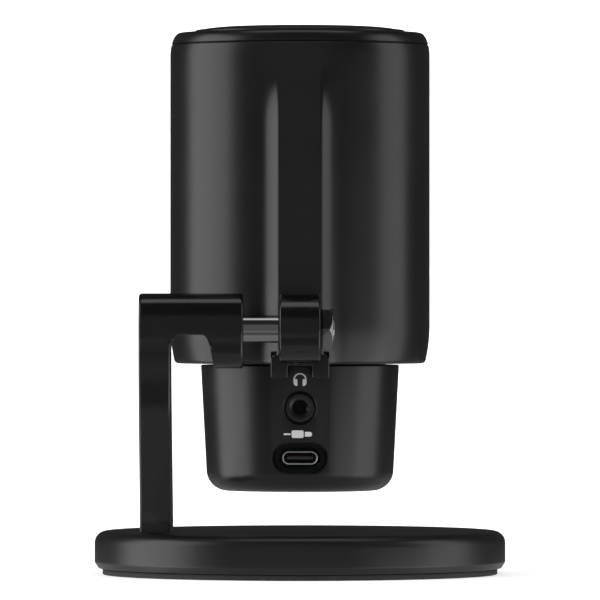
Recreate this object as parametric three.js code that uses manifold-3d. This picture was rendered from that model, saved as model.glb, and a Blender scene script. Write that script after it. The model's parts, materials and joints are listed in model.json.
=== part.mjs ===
// A desktop microphone on a weighted round stand: a drum-shaped upper housing with a front grille and a
// round mute cap, a narrower lower housing with the headphone and USB-C ports in its back, and a friction
// hinge behind it whose rod runs into the knuckle of a side arm.
// Millimetres, +Z up. The origin is the centre of the foot pad's underside. The front faces -Y.
import * as THREE from "three";
import { mergeVertices } from "three/addons/utils/BufferGeometryUtils.js";
import Module from "manifold-3d";

// ---------------------------------------------------------------- driving dimensions

// Clearances
const FIT = 0.3; // between pieces that sit in or around each other
const FLUSH = 0.1; // between faces that rest on each other
const RUNNING = 0.15; // radial, between the turning rod and its bush

// Upper housing. Heights above the seam between the two housings.
const UPPER_D = 66;
const UPPER_H = 84;
const UPPER_WALL = 2.4;
const FOOT_TUCK = 1.2; // how much the radius shrinks towards the seam
const TUCK_H = 10;
const FLOOR_T = 2.4;
const SHOULDER_W = 2.5; // the rounded shoulder at the top, an ellipse
const SHOULDER_H = 6;
const SPINE_W = 10.8; // the raised spine down the back
const SPINE_PROUD = 2.2;
const SPINE_FILLET = 5;
const SPINE_TOP = 76; // where the spine has run out into the wall
const SPINE_RUN_OUT = 14;

// Front grille and the foam behind it
const GRILLE_FROM = 8;
const GRILLE_HALF_ANGLE = 85;
const GRILLE_T = 1.2;
const FOAM_T = 4;

// Top rim and mute cap
const RIM_H = 3;
const RIM_W = 2.6;
const RIM_FLANGE_T = 2.4;
const RIM_FLANGE_W = 3.4;
const GROOVE_W = 1.1; // the open ring between the cap and the rim
const CAP_PROUD = 0.75; // how far the cap's edge stands over the rim
const CAP_CROWN = 0.8; // how far the cap's flat middle stands over its edge
const CAP_FLAT_D = 37;
const CAP_T = 1.8;
const CAP_SKIRT_H = 4.2;
const CAP_TRAVEL = 0.6;

// Button deck, its board, switch and springs
const BUTTON_DECK_T = 2;
const BUTTON_BOARD_D = 20;
const BOARD_T = 1.2;
const SWITCH_SIDE = 6;
const SWITCH_H = 3.2;
const PLUNGER_D = 3;
const STEM_D = 5;
const SPRING_COUNT = 3;
const SPRING_AT = 15.5; // radius of the ring on which the springs stand
const SPRING_D = 5;
const SPRING_WIRE_D = 0.6;
const SPRING_TURNS = 4;

// Chassis and capsule
const CHASSIS_T = 2.3;
const CHASSIS_FRONT = 6.9; // the plate's front face, behind the body's axis
const CHASSIS_W = 32;
const CHASSIS_H = 66;
const DECK_T = 2.5;
const WIRE_SLOT = { width: 20, depth: 5 };
const CAPSULE_D = 25;
const CAPSULE_L = 7;
const CAPSULE_UP = 50;
const CAPSULE_RUBBER_T = 2.8;
const CLAMP_T = 2.2;
const CLAMP_EAR_W = 6;
const LEAD_D = 2;
const RIBBON = { width: 6, thick: 0.5 };
const WIRE_X = 6; // the lead and the ribbon run this far to each side of the middle

// Lower housing. Depths below the seam.
const LOWER_STEP = 6.6; // how far it stands in from the upper housing
const LOWER_TAPER = 1.7; // radius lost from the seam to the bottom
const LOWER_H = 32.3;
const LOWER_EDGE_R = 5.2;
const LOWER_WALL = 2.2;
const BOSS_D = 6.4;
const BOSS_L = 14;

// Ports, board and chip
const JACK_DOWN = 11;
const JACK_HOLE_D = 8.2;
const JACK_COLLAR_D = 7.5;
const JACK_BORE_D = 4.1;
const JACK_BODY = { width: 10, height: 10.4 };
const USB_DOWN = 23.6;
const USB_RECESS = { width: 14.4, height: 8.1, deep: 1.4 };
const USB_WINDOW = { width: 10.8, height: 5.5 };
const USB_SHELL = { width: 8.94, height: 3.28, wall: 0.3 };
const USB_TONGUE = { width: 6.7, height: 0.7 };
const MAIN_BOARD_W = 29;
const MAIN_BOARD_T = 1.6;
const CHIP_SIDE = 7;
const CHIP_T = 1;

// Tilt hinge
const HINGE_UP = 8.9; // axis height above the seam
const LUG_D = 17.2;
const LUG_W = 10.2;
const BUSH_WALL = 1.15;
const THREAD_D = 6;
const ROD_D = 6.9;
const ROD_BARE = 9; // the stretch of rod that shows between the lug and the knuckle
const NUT_FLATS = 10;
const NUT_T = 3.1;
const NUT_CHAMFER = 47; // degrees from the nut's outer face
const THREAD_OUT = 0.3; // how far the thread stands out of the nut
const WASHER_T = 0.6;
const WASHER_D = 11.2;
const PAD_W = 14.6; // the lug's foot, which hooks under the housing's lower edge
const PAD_UP = 3.3;
const PAD_DOWN = 3.3;
const PAD_PROUD = 3.4;
const PAD_SCOOP_R = 1.6; // the hollows in its two top corners
const PAD_SCOOP_IN = 0.5;
const PAD_NOTCH_W = 6.1; // between its two hooks, where the wall and its sign show
const EDGE_BREAK = 0.6; // chamfer on the hinge's and the arm's edges

// Arm
const KNUCKLE_W = 10;
const KNUCKLE_H = 18.8;
const KNUCKLE_FACE_R = 12; // the crown of its back
const KNUCKLE_CORNER_R = 6.6;
const KNUCKLE_BACK = 9;
const KNUCKLE_DROP = 0.5; // its middle lies this far under the rod
const NECK_L = 8;
const NECK_UNDER = 1.5; // the neck's underside, under the rod
const ARM_T = 8;
const ARM_FOOT_L = 26;
const ARM_FOOT_Y = 12;
const ARM_SCREW_SPAN = 13; // between the two screws in the foot
const ARM_SCREW_BACK = 1; // their middle lies this far behind the foot's

// Base
const BASE_D = 104;
const BASE_H = 11;
const BASE_EDGE_R = 3;
const BASE_WALL = 2.5;
const FOOT_PAD_T = 1.5;
const FOOT_INSET = 2;
const PLATE_T = 1.6;
const WEIGHT_T = 4.6;
const BODY_AHEAD = 8; // how far the microphone's axis stands ahead of the base's middle
const UNDER_GAP = 10; // between the base and the lower housing

// Screws: head and shank diameters, head height and shank length
const M2_SCREW = { head: 3.8, headH: 1.3, shank: 2, length: 4.4 };
const M25_SCREW = { head: 4.2, headH: 1.5, shank: 2.4, length: 8 };
const M3_SCREW = { head: 5.4, headH: 1.8, shank: 2.6, length: 13 };
const M4_SCREW = { head: 7, headH: 2.4, shank: 3.8, length: 10 };
const GRUB = { d: 3, length: 5.4 };

// Facets
const ROUND = 48; // sides of the large turned pieces
const SMALL_ROUND = 20;
const TINY_ROUND = 8;
const ARC_STEPS = 5;

// ---------------------------------------------------------------- worked-out sizes

const UPPER_R = UPPER_D / 2;
const FOOT_R = UPPER_R - FOOT_TUCK;
const RIM_R = UPPER_R - SHOULDER_W;
const RIM_IN_R = RIM_R - RIM_W;
const CAP_R = RIM_IN_R - GROOVE_W;
const RIM_FLANGE_R = RIM_IN_R - RIM_FLANGE_W;
const LOWER_R = FOOT_R - LOWER_STEP;
const LOWER_FOOT_R = LOWER_R - LOWER_TAPER;
const BOSS_AT = LOWER_R - LOWER_WALL - BOSS_D / 2 + 0.6; // the bosses run into the wall
const FLOOR_OPENING_R = BOSS_AT - M3_SCREW.shank;
const SPINE_FACE = UPPER_R + SPINE_PROUD;
const NUT_CORNER_R = NUT_FLATS / Math.sqrt(3);
const HINGE_BACK = SPINE_FACE + Math.max(NUT_CORNER_R + FIT, ROD_D / 2 + FIT, KNUCKLE_H / 2 - SPINE_PROUD);
const BUSH_R = THREAD_D / 2 + RUNNING + BUSH_WALL;
const KNUCKLE_X = LUG_W / 2 + ROD_BARE;
const ARM_X = KNUCKLE_X + KNUCKLE_W + NECK_L;
const BOARD_FRONT = CHASSIS_FRONT + CHASSIS_T + FIT;
const BOARD_BACK = BOARD_FRONT + MAIN_BOARD_T;
const SEAM_UP = BASE_H + UNDER_GAP + LOWER_H;
const GRILLE_TO = UPPER_H - RIM_H - FIT;

// The upper housing's outer radius at a height above the seam
function bodyRadius(z) {
  const tuck = Math.max(0, 1 - z / TUCK_H);
  const rise = Math.max(0, (z - UPPER_H + SHOULDER_H) / SHOULDER_H);
  return UPPER_R - FOOT_TUCK * tuck * tuck - SHOULDER_W * (1 - Math.sqrt(Math.max(0, 1 - rise * rise)));
}

// The lower housing's outer radius at a depth below the seam
function lowerRadius(depth) {
  return LOWER_R - (LOWER_TAPER * depth) / LOWER_H;
}

// ---------------------------------------------------------------- solids

const wasm = await Module();
wasm.setup();

const WELD = 1e-4;
const X = new THREE.Vector3(1, 0, 0);
const Y = new THREE.Vector3(0, 1, 0);
const Z = new THREE.Vector3(0, 0, 1);
// Where a drawing's right, up and towards-the-eye directions go
const ALONG_X = new THREE.Matrix4().makeBasis(Y, Z, X);
const ALONG_BACK = new THREE.Matrix4().makeBasis(X.clone().negate(), Z, Y);

// A closed geometry as a solid that faces outwards
function solid(geometry) {
  const bare = geometry.clone();
  bare.deleteAttribute("normal");
  bare.deleteAttribute("uv");
  const welded = mergeVertices(bare, WELD);
  const corners = welded.index.array;
  const kept = [];
  for (let i = 0; i < corners.length; i += 3) {
    const [a, b, c] = corners.slice(i, i + 3);
    if (a !== b && b !== c && c !== a) kept.push(a, b, c);
  }
  const build = (triangles) =>
    new wasm.Manifold(
      new wasm.Mesh({
        numProp: 3,
        vertProperties: new Float32Array(welded.attributes.position.array),
        triVerts: new Uint32Array(triangles),
      }),
    );
  const made = build(kept);
  return made.volume() > 0 ? made : build(kept.reverse());
}

// A solid as a geometry that three.js can draw
function geometryOf(made) {
  const { numProp, vertProperties, triVerts } = made.getMesh();
  const places = new Float32Array((vertProperties.length / numProp) * 3);
  for (let i = 0; i * numProp < vertProperties.length; i++)
    places.set(vertProperties.subarray(i * numProp, i * numProp + 3), i * 3);
  const geometry = new THREE.BufferGeometry();
  geometry.setAttribute("position", new THREE.BufferAttribute(places, 3));
  geometry.setIndex(new THREE.BufferAttribute(new Uint32Array(triVerts), 1));
  geometry.computeVertexNormals();
  return geometry;
}

const joined = (first, ...rest) => rest.reduce((all, next) => all.add(next), first);
const without = (first, ...rest) => rest.reduce((all, next) => all.subtract(next), first);

// A profile of [radius, height] pairs turned about +Z
function turned(profile, sides = ROUND) {
  const points = profile.map(([r, z]) => new THREE.Vector2(r, z));
  return new THREE.LatheGeometry(points, sides).rotateX(Math.PI / 2);
}

// A washer, tube or disc about +Z
function ring(inner, outer, low, high, sides = SMALL_ROUND) {
  const profile = [[inner, low], [outer, low], [outer, high], [inner, high]];
  return turned(inner > 0 ? [...profile, profile[0]] : profile, sides);
}

// Turns a piece made about +Z so that its +Z goes along another direction
function towards(geometry, direction) {
  return geometry.applyQuaternion(new THREE.Quaternion().setFromUnitVectors(Z, direction));
}

function block(x, y, z) {
  const [width, depth, height] = [x, y, z].map(([low, high]) => high - low);
  const middle = [x, y, z].map(([low, high]) => (low + high) / 2);
  return new THREE.BoxGeometry(width, depth, height).translate(...middle);
}

// A flat outline given thickness, with both its rims chamfered
function plate(shape, thickness, chamfer = 0, curveSegments = ARC_STEPS) {
  return new THREE.ExtrudeGeometry(shape, {
    depth: thickness - 2 * chamfer,
    curveSegments,
    bevelEnabled: chamfer > 0,
    bevelThickness: chamfer,
    bevelSize: chamfer,
    bevelOffset: -chamfer,
    bevelSegments: 1,
  }).translate(0, 0, chamfer);
}

// An outline with two round ends, wider than it is high
function slotShape(width, height) {
  const shape = new THREE.Shape();
  const [r, half] = [height / 2, (width - height) / 2];
  shape.absarc(half, 0, r, -Math.PI / 2, Math.PI / 2);
  shape.absarc(-half, 0, r, Math.PI / 2, (3 * Math.PI) / 2);
  return shape;
}

// An arc of a turned profile, as [radius, height] pairs
function arc(r, z, radius, fromAngle, toAngle, steps = ARC_STEPS) {
  return Array.from({ length: steps + 1 }, (_, i) => {
    const angle = THREE.MathUtils.degToRad(fromAngle + ((toAngle - fromAngle) * i) / steps);
    return [r + radius * Math.cos(angle), z + radius * Math.sin(angle)];
  });
}

// The place on a circle about the axis. The front is at -90 degrees.
function around(radius, degrees, z = 0) {
  const angle = THREE.MathUtils.degToRad(degrees);
  return new THREE.Vector3(radius * Math.cos(angle), radius * Math.sin(angle), z);
}

// Everything in front of the axis within an angle of straight ahead
function frontWedge(halfAngle, low, high) {
  const reach = 2 * UPPER_R;
  const rim = Array.from({ length: ARC_STEPS + 1 }, (_, i) => {
    const place = around(reach, -90 - halfAngle + (2 * halfAngle * i) / ARC_STEPS);
    return new THREE.Vector2(place.x, place.y);
  });
  const shape = new THREE.Shape([new THREE.Vector2(0, 0), ...rim]);
  return plate(shape, high - low).translate(0, 0, low);
}

// A wire or ribbon along a smooth route
function along(route, section, steps) {
  const extrudePath = new THREE.CatmullRomCurve3(route.map((place) => new THREE.Vector3(...place)));
  return new THREE.ExtrudeGeometry(section, { steps, extrudePath, curveSegments: 2 });
}

function screwSolid({ head, headH, shank, length }) {
  const rim = headH * 0.35;
  const profile = [
    [0, -length],
    [shank / 2, -length],
    [shank / 2, 0],
    [head / 2, 0],
    [head / 2, headH - rim],
    [head / 2 - rim, headH],
    [0, headH],
  ];
  return turned(profile, TINY_ROUND);
}

// ---------------------------------------------------------------- materials

function finish(color, roughness, metalness = 0) {
  return new THREE.MeshStandardMaterial({ color, roughness, metalness });
}

const SATIN_BLACK = finish(0x141415, 0.38);
const CAP_BLACK = finish(0x19191a, 0.42);
const GRILLE_BLACK = finish(0x101011, 0.5, 0.6);
const INNER_BLACK = finish(0x1d1d1f, 0.6);
const FOAM_BLACK = finish(0x0d0d0e, 0.95);
const RUBBER_BLACK = finish(0x17171a, 0.9);
const BOARD_GREEN = finish(0x12402a, 0.55);
const CHIP_BLACK = finish(0x1b1b1d, 0.5);
const STEEL = finish(0xb9bcc0, 0.3, 1);
const DARK_STEEL = finish(0x3b3c3f, 0.35, 1);
const NYLON = finish(0xd9d6cc, 0.5);
const WIRE_GREY = finish(0x55565a, 0.6);

// A named node at a place in its group
function node(name, made, material, place = [0, 0, 0]) {
  const mesh = new THREE.Mesh(geometryOf(made), material);
  mesh.name = name;
  mesh.position.set(...place);
  return mesh;
}

// Screws driven along a direction, one node each, numbered when there is more than one
function screws(name, kind, places, direction, material = DARK_STEEL) {
  const shape = solid(towards(screwSolid(kind), direction.clone().negate()));
  return places.map((place, i) => node(`${name}_${i + 1}`, shape, material, place.toArray()));
}

// Holes for such screws, reaching a length past the seat under the head
function screwHoles(kind, places, direction, length, { slack = FIT, headRoom = 0 } = {}) {
  const [shankR, headR] = [kind.shank / 2 + slack, kind.head / 2 + FIT];
  const hole = [[0, -length], [shankR, -length], [shankR, headRoom ? -FLUSH : length]];
  const pocket = headRoom ? [[headR, -FLUSH], [headR, headRoom], [0, headRoom]] : [[0, length]];
  const drill = turned([...hole, ...pocket], TINY_ROUND);
  return places.map((place) =>
    solid(towards(drill.clone(), direction.clone().negate()).translate(...place.toArray())),
  );
}

const DOWN = Z.clone().negate();
const BACKWARDS = Y.clone();

// ---------------------------------------------------------------- upper housing and grille

// Heights at which the housing's curved wall is drawn, from the floor to the rim
function wallHeights(low, high) {
  const bends = [0.3, 0.65, 1].map((share) => share * TUCK_H);
  const shoulder = [0, 0.3].map((share) => UPPER_H - SHOULDER_H + share * SHOULDER_H);
  const between = [...bends, ...shoulder].filter((z) => z > low && z < high);
  return [low, ...between, high];
}

// A curved wall that follows the housing, from one depth under its surface to another
function wall(low, high, outerDepth, innerDepth) {
  const heights = wallHeights(low, high);
  const outer = heights.map((z) => [bodyRadius(z) - outerDepth, z]);
  const inner = heights.map((z) => [bodyRadius(z) - innerDepth, z]).reverse();
  return solid(turned([...outer, ...inner, outer[0]]));
}

// The spine: a flat ridge with a hollow fillet on each side, which slopes into the wall at its top
function spine() {
  const half = SPINE_W / 2;
  const root = UPPER_R - UPPER_WALL / 2;
  const foot = Math.sqrt(UPPER_R ** 2 - (half + SPINE_FILLET) ** 2) - FLUSH;
  const drop = SPINE_FACE - foot;
  const shape = new THREE.Shape();
  shape.moveTo(-half - SPINE_FILLET, foot - UPPER_WALL / 2);
  shape.lineTo(half + SPINE_FILLET, foot - UPPER_WALL / 2);
  shape.lineTo(half + SPINE_FILLET, foot);
  const [low, mid] = [foot + drop * 0.25, foot + drop * 0.5];
  const [wide, near] = [half + SPINE_FILLET / 2, half + 0.4];
  shape.bezierCurveTo(wide, low, near, mid, half, SPINE_FACE);
  shape.lineTo(-half, SPINE_FACE);
  shape.bezierCurveTo(-near, mid, -wide, low, -half - SPINE_FILLET, foot);
  const ridge = solid(plate(shape, SPINE_TOP));
  const slope = new THREE.BoxGeometry(UPPER_D, UPPER_R, UPPER_H)
    .translate(0, UPPER_R / 2, 0)
    .rotateX(Math.atan2(drop, SPINE_RUN_OUT))
    .translate(0, SPINE_FACE, SPINE_TOP - SPINE_RUN_OUT);
  const hollow = solid(ring(0, root, -1, UPPER_H, ROUND));
  return without(ridge, solid(slope), hollow);
}

const BRACKET_SCREW_AT = BUSH_R + M25_SCREW.shank / 2 + FIT;
const HEAD_SEAT = UPPER_R - UPPER_WALL - 0.4; // a spot face inside the back wall
const bracketScrewPlaces = [1, -1].map(
  (side) => new THREE.Vector3(0, HEAD_SEAT, HINGE_UP + side * BRACKET_SCREW_AT),
);
const housingScrewPlaces = [-90, 0, 180].map((degrees) =>
  around(BOSS_AT, degrees, FLOOR_T + FIT + DECK_T),
);

// The housing's outside, let out by a gap, for pieces that lie against it
function bodySkin(gap) {
  const heights = wallHeights(-gap, UPPER_H - RIM_H);
  const side = heights.map((z) => [bodyRadius(Math.max(0, z)) + gap, z]);
  return solid(turned([[0, -gap], ...side, [0, UPPER_H - RIM_H]]));
}

function upperHousing() {
  const shell = wall(0, UPPER_H - RIM_H, 0, UPPER_WALL);
  const floor = solid(ring(FLOOR_OPENING_R, FOOT_R - UPPER_WALL / 2, 0, FLOOR_T, ROUND));
  const window = solid(frontWedge(GRILLE_HALF_ANGLE, GRILLE_FROM, UPPER_H));
  const drilled = screwHoles(M25_SCREW, bracketScrewPlaces, BACKWARDS, M25_SCREW.length, {
    headRoom: M25_SCREW.headH + FIT,
  });
  const down = screwHoles(M3_SCREW, housingScrewPlaces, DOWN, M3_SCREW.length);
  return without(joined(shell, floor, spine()), window, ...drilled, ...down);
}

function grille() {
  const degrees = GRILLE_HALF_ANGLE - THREE.MathUtils.radToDeg(FIT / UPPER_R);
  return wall(GRILLE_FROM + FIT, GRILLE_TO, 0, GRILLE_T).intersect(
    solid(frontWedge(degrees, GRILLE_FROM, UPPER_H)),
  );
}

function windscreenFoam() {
  const depth = Math.max(GRILLE_T, UPPER_WALL) + FIT;
  const low = FLOOR_T + FIT + DECK_T + FIT;
  const high = UPPER_H - RIM_H - RIM_FLANGE_T - BUTTON_DECK_T - 3;
  const front = solid(frontWedge(GRILLE_HALF_ANGLE - 5, 0, UPPER_H));
  return wall(low, high, depth, depth + FOAM_T).intersect(front);
}

// ---------------------------------------------------------------- top rim, mute cap and switch
// Heights here are from the top of the rim, so they are negative below it.

const CAP_LOW = CAP_PROUD - CAP_SKIRT_H;
const FLANGE_TOP = CAP_LOW - CAP_TRAVEL - FIT;
const DECK_TOP = FLANGE_TOP - RIM_FLANGE_T - FIT;
const BUTTON_BOARD_TOP = DECK_TOP + FLUSH + BOARD_T;
const SWITCH_TOP = BUTTON_BOARD_TOP + FLUSH + SWITCH_H;
const CAP_TOP = CAP_PROUD + CAP_CROWN;
const PLUNGER_TOP = SWITCH_TOP + CAP_TRAVEL + FIT;
const SPIGOT_R = UPPER_R - UPPER_WALL - SHOULDER_W * 0.15 - FIT;
const DECK_SCREW_AT = (RIM_FLANGE_R + SPIGOT_R) / 2;
const deckScrewPlaces = [30, 150, 270].map((degrees) =>
  around(DECK_SCREW_AT, degrees, DECK_TOP - BUTTON_DECK_T),
);
const springPlaces = Array.from({ length: SPRING_COUNT }, (_, i) =>
  around(SPRING_AT, 90 + (360 * i) / SPRING_COUNT, DECK_TOP + FLUSH),
);

function topRim() {
  const outer = [-RIM_H, -RIM_H / 2, -RIM_H / 5, -RIM_H / 20].map((z) => [bodyRadius(UPPER_H + z), z]);
  const profile = [
    [SPIGOT_R, FLANGE_TOP - RIM_FLANGE_T],
    [SPIGOT_R, -RIM_H],
    ...outer,
    [RIM_R, 0],
    [RIM_IN_R + 0.4, 0],
    [RIM_IN_R, -0.4],
    [RIM_IN_R, FLANGE_TOP],
    [RIM_FLANGE_R, FLANGE_TOP],
    [RIM_FLANGE_R, FLANGE_TOP - RIM_FLANGE_T],
  ];
  const holes = screwHoles(M2_SCREW, deckScrewPlaces, Z, M2_SCREW.length, { slack: FLUSH });
  return without(solid(turned([...profile, profile[0]])), ...holes);
}

function muteCap() {
  const flat = CAP_FLAT_D / 2;
  const edge = 0.6;
  const slope = [0, 1, 2, 3].map((i) => {
    const share = i / 3;
    return [flat + (CAP_R - edge - flat) * share, CAP_TOP - CAP_CROWN * share ** 1.6];
  });
  const profile = [
    [0, CAP_TOP],
    ...slope,
    [CAP_R, CAP_PROUD - edge],
    [CAP_R, CAP_LOW],
    [CAP_R - CAP_T, CAP_LOW],
    [CAP_R - CAP_T, CAP_PROUD - CAP_T],
    [flat, CAP_TOP - CAP_T],
    [STEM_D / 2, CAP_TOP - CAP_T],
    [STEM_D / 2, PLUNGER_TOP + FLUSH],
    [0, PLUNGER_TOP + FLUSH],
  ];
  return solid(turned(profile));
}

function buttonDeck() {
  const wireSlot = block(
    [WIRE_X - RIBBON.width / 2 - 1, WIRE_X + RIBBON.width / 2 + 1],
    [RIBBON_DROP_Y - 2, RIBBON_DROP_Y + 2],
    [DECK_TOP - 2 * BUTTON_DECK_T, DECK_TOP + 1],
  );
  const disc = solid(ring(0, SPIGOT_R, DECK_TOP - BUTTON_DECK_T, DECK_TOP, ROUND));
  return without(disc, solid(wireSlot), ...screwHoles(M2_SCREW, deckScrewPlaces, Z, M2_SCREW.length));
}

function buttonBoard() {
  return solid(ring(0, BUTTON_BOARD_D / 2, DECK_TOP + FLUSH, BUTTON_BOARD_TOP, SMALL_ROUND));
}

function switchBody() {
  const half = SWITCH_SIDE / 2;
  const body = solid(block([-half, half], [-half, half], [BUTTON_BOARD_TOP + FLUSH, SWITCH_TOP]));
  const boreLow = SWITCH_TOP - 2 * CAP_TRAVEL - 2 * FIT;
  const bore = ring(0, PLUNGER_D / 2 + FIT, boreLow, SWITCH_TOP + 1, TINY_ROUND);
  return without(body, solid(bore));
}

function switchPlunger() {
  return solid(ring(0, PLUNGER_D / 2, SWITCH_TOP - CAP_TRAVEL, PLUNGER_TOP, TINY_ROUND));
}

class CoilCurve extends THREE.Curve {
  constructor(radius, height, turns) {
    super();
    Object.assign(this, { radius, height, turns });
  }
  getPoint(t, target = new THREE.Vector3()) {
    const angle = 2 * Math.PI * this.turns * t;
    return target.set(this.radius * Math.cos(angle), this.radius * Math.sin(angle), this.height * t);
  }
}

function buttonSpring() {
  const wire = new THREE.Shape().absarc(0, 0, SPRING_WIRE_D / 2, 0, 2 * Math.PI);
  const height = CAP_TOP - CAP_T - DECK_TOP - 2 * FLUSH - 2 * SPRING_WIRE_D;
  const coil = new CoilCurve((SPRING_D - SPRING_WIRE_D) / 2, height, SPRING_TURNS);
  const steps = SPRING_TURNS * 8;
  const made = new THREE.ExtrudeGeometry(wire, { steps, extrudePath: coil, curveSegments: 2 });
  return solid(made.translate(0, 0, SPRING_WIRE_D));
}

// ---------------------------------------------------------------- chassis, capsule and wiring

const DECK_LOW = FLOOR_T + FIT;
const DECK_HIGH = DECK_LOW + DECK_T;
const CLAMP_R = CAPSULE_D / 2 + CAPSULE_RUBBER_T + CLAMP_T + 2 * FIT;
const CLAMP_SCREW_X = CLAMP_R + CLAMP_EAR_W / 2 - 1;
const CLAMP_BACK = CHASSIS_FRONT - FLUSH;
const CLAMP_EAR_T = 2.5;
const WIRE_Y = BOARD_BACK + WIRE_SLOT.depth / 2 + 0.5;
const RIBBON_DROP_Y = BUTTON_BOARD_D / 2 + 3;
const BOARD_TOP = -2.5;
const BOARD_LOW = -LOWER_H + LOWER_WALL + 1.6;
const boardScrewPlaces = [1, -1].map(
  (side) => new THREE.Vector3(side * (MAIN_BOARD_W / 2 - 3), BOARD_BACK + FLUSH, BOARD_TOP - 3.5),
);
const clampScrewPlaces = [1, -1].map(
  (side) => new THREE.Vector3(side * CLAMP_SCREW_X, CLAMP_BACK - CLAMP_EAR_T, CAPSULE_UP),
);
const FORWARDS = Y.clone().negate();

function chassis() {
  const back = CHASSIS_FRONT + CHASSIS_T;
  const across = [CHASSIS_FRONT, back];
  const deck = solid(ring(0, BOSS_AT + M3_SCREW.head / 2 + 1, DECK_LOW, DECK_HIGH, ROUND));
  const upright = solid(block([-CHASSIS_W / 2, CHASSIS_W / 2], across, [DECK_LOW, CHASSIS_H]));
  const shoulders = solid(
    block(
      [-CLAMP_SCREW_X - CLAMP_EAR_W / 2, CLAMP_SCREW_X + CLAMP_EAR_W / 2],
      across,
      [CAPSULE_UP - CLAMP_EAR_W, CAPSULE_UP + CLAMP_EAR_W],
    ),
  );
  const tongueHalf = Math.min(MAIN_BOARD_W / 2, FLOOR_OPENING_R - 3.5);
  const tongue = solid(block([-tongueHalf, tongueHalf], across, [BOARD_LOW + 1, DECK_LOW + 1]));
  const slotHalf = WIRE_SLOT.width / 2;
  const slot = solid(
    block(
      [-slotHalf, slotHalf],
      [WIRE_Y - WIRE_SLOT.depth / 2, WIRE_Y + WIRE_SLOT.depth / 2],
      [DECK_LOW - 1, DECK_HIGH + 1],
    ),
  );
  const leadDrill = towards(ring(0, LEAD_D / 2 + 1, -2, CHASSIS_T + 2, TINY_ROUND), Y);
  const leadHole = solid(leadDrill.translate(-WIRE_X, CHASSIS_FRONT, CAPSULE_UP));
  return without(
    joined(deck, upright, shoulders, tongue),
    slot,
    leadHole,
    ...screwHoles(M3_SCREW, housingScrewPlaces, DOWN, M3_SCREW.length),
    ...screwHoles(M2_SCREW, boardScrewPlaces, FORWARDS, M2_SCREW.length, { slack: FLUSH }),
    ...screwHoles(M2_SCREW, clampScrewPlaces, BACKWARDS, M2_SCREW.length + 1, { slack: FLUSH }),
  );
}

// The capsule, its rubber and its clamp are turned about the way the capsule faces
const CAPSULE_BACK = CHASSIS_FRONT - 3;
const capsuleTurn = (geometry) => towards(geometry, FORWARDS).translate(0, CAPSULE_BACK, CAPSULE_UP);

function capsule() {
  const r = CAPSULE_D / 2;
  const profile = [[0, 0], [r - 0.5, 0], [r, 0.5], [r, CAPSULE_L - 0.8], [r - 0.8, CAPSULE_L]];
  const face = [[r - 3, CAPSULE_L], [r - 3.4, CAPSULE_L - 0.6], [0, CAPSULE_L - 0.6]];
  return solid(capsuleTurn(turned([...profile, ...face], SMALL_ROUND)));
}

function capsuleMount() {
  const inner = CAPSULE_D / 2 + FIT;
  const outer = inner + CAPSULE_RUBBER_T - FIT;
  return solid(capsuleTurn(ring(inner, outer, 0.5, CAPSULE_L - 1.5, SMALL_ROUND)));
}

function capsuleClamp() {
  const inner = CAPSULE_D / 2 + CAPSULE_RUBBER_T + FIT;
  const depth = CLAMP_BACK - CAPSULE_BACK;
  const profile = [
    [inner, -depth],
    [inner + CLAMP_T, -depth],
    [inner + CLAMP_T, CAPSULE_L],
    [inner - CAPSULE_RUBBER_T / 2, CAPSULE_L],
    [inner - CAPSULE_RUBBER_T / 2, CAPSULE_L - 1.2],
    [inner, CAPSULE_L - 1.2],
  ];
  const ears = [1, -1].map((side) =>
    solid(
      block(
        [side * CLAMP_SCREW_X - CLAMP_EAR_W / 2, side * CLAMP_SCREW_X + CLAMP_EAR_W / 2],
        [CLAMP_BACK - CLAMP_EAR_T, CLAMP_BACK],
        [CAPSULE_UP - CLAMP_EAR_W / 2, CAPSULE_UP + CLAMP_EAR_W / 2],
      ),
    ),
  );
  const inside = solid(capsuleTurn(ring(0, inner, -depth - 1, CAPSULE_L - 1.2, SMALL_ROUND)));
  return without(
    joined(solid(capsuleTurn(turned([...profile, profile[0]], SMALL_ROUND))), ...ears),
    inside,
    ...screwHoles(M2_SCREW, clampScrewPlaces, BACKWARDS, M2_SCREW.length + 1),
  );
}

function capsuleLead() {
  const bend = 3;
  const route = [
    [-WIRE_X, CAPSULE_BACK + FIT, CAPSULE_UP],
    [-WIRE_X, WIRE_Y - bend, CAPSULE_UP],
    [-WIRE_X, WIRE_Y, CAPSULE_UP - bend],
    [-WIRE_X, WIRE_Y, CAPSULE_UP / 2],
    [-WIRE_X, WIRE_Y, DECK_HIGH + bend],
    [-WIRE_X, WIRE_Y, BOARD_TOP + bend],
    [-WIRE_X, BOARD_BACK + LEAD_D / 2 + FIT, BOARD_TOP - bend],
  ];
  return solid(along(route, new THREE.Shape().absarc(0, 0, LEAD_D / 2, 0, 2 * Math.PI), 30));
}

function buttonRibbon() {
  const bend = 2.5;
  const high = UPPER_H + BUTTON_BOARD_TOP - BOARD_T / 2;
  const route = [
    [WIRE_X, BUTTON_BOARD_D / 2 + FIT, high],
    [WIRE_X, RIBBON_DROP_Y - bend / 2, high],
    [WIRE_X, RIBBON_DROP_Y, high - bend],
    [WIRE_X, RIBBON_DROP_Y, UPPER_H / 2],
    [WIRE_X, WIRE_Y, DECK_HIGH + 2 * bend],
    [WIRE_X, WIRE_Y, BOARD_TOP + bend],
    [WIRE_X, BOARD_BACK + RIBBON.thick / 2 + FIT, BOARD_TOP - bend],
  ];
  const [w, t] = [RIBBON.width / 2, RIBBON.thick / 2];
  const flat = [[w, -t], [w, t], [-w, t], [-w, -t]].map(([x, y]) => new THREE.Vector2(x, y));
  return solid(along(route, new THREE.Shape(flat), 30));
}

// ---------------------------------------------------------------- lower housing and ports

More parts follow.
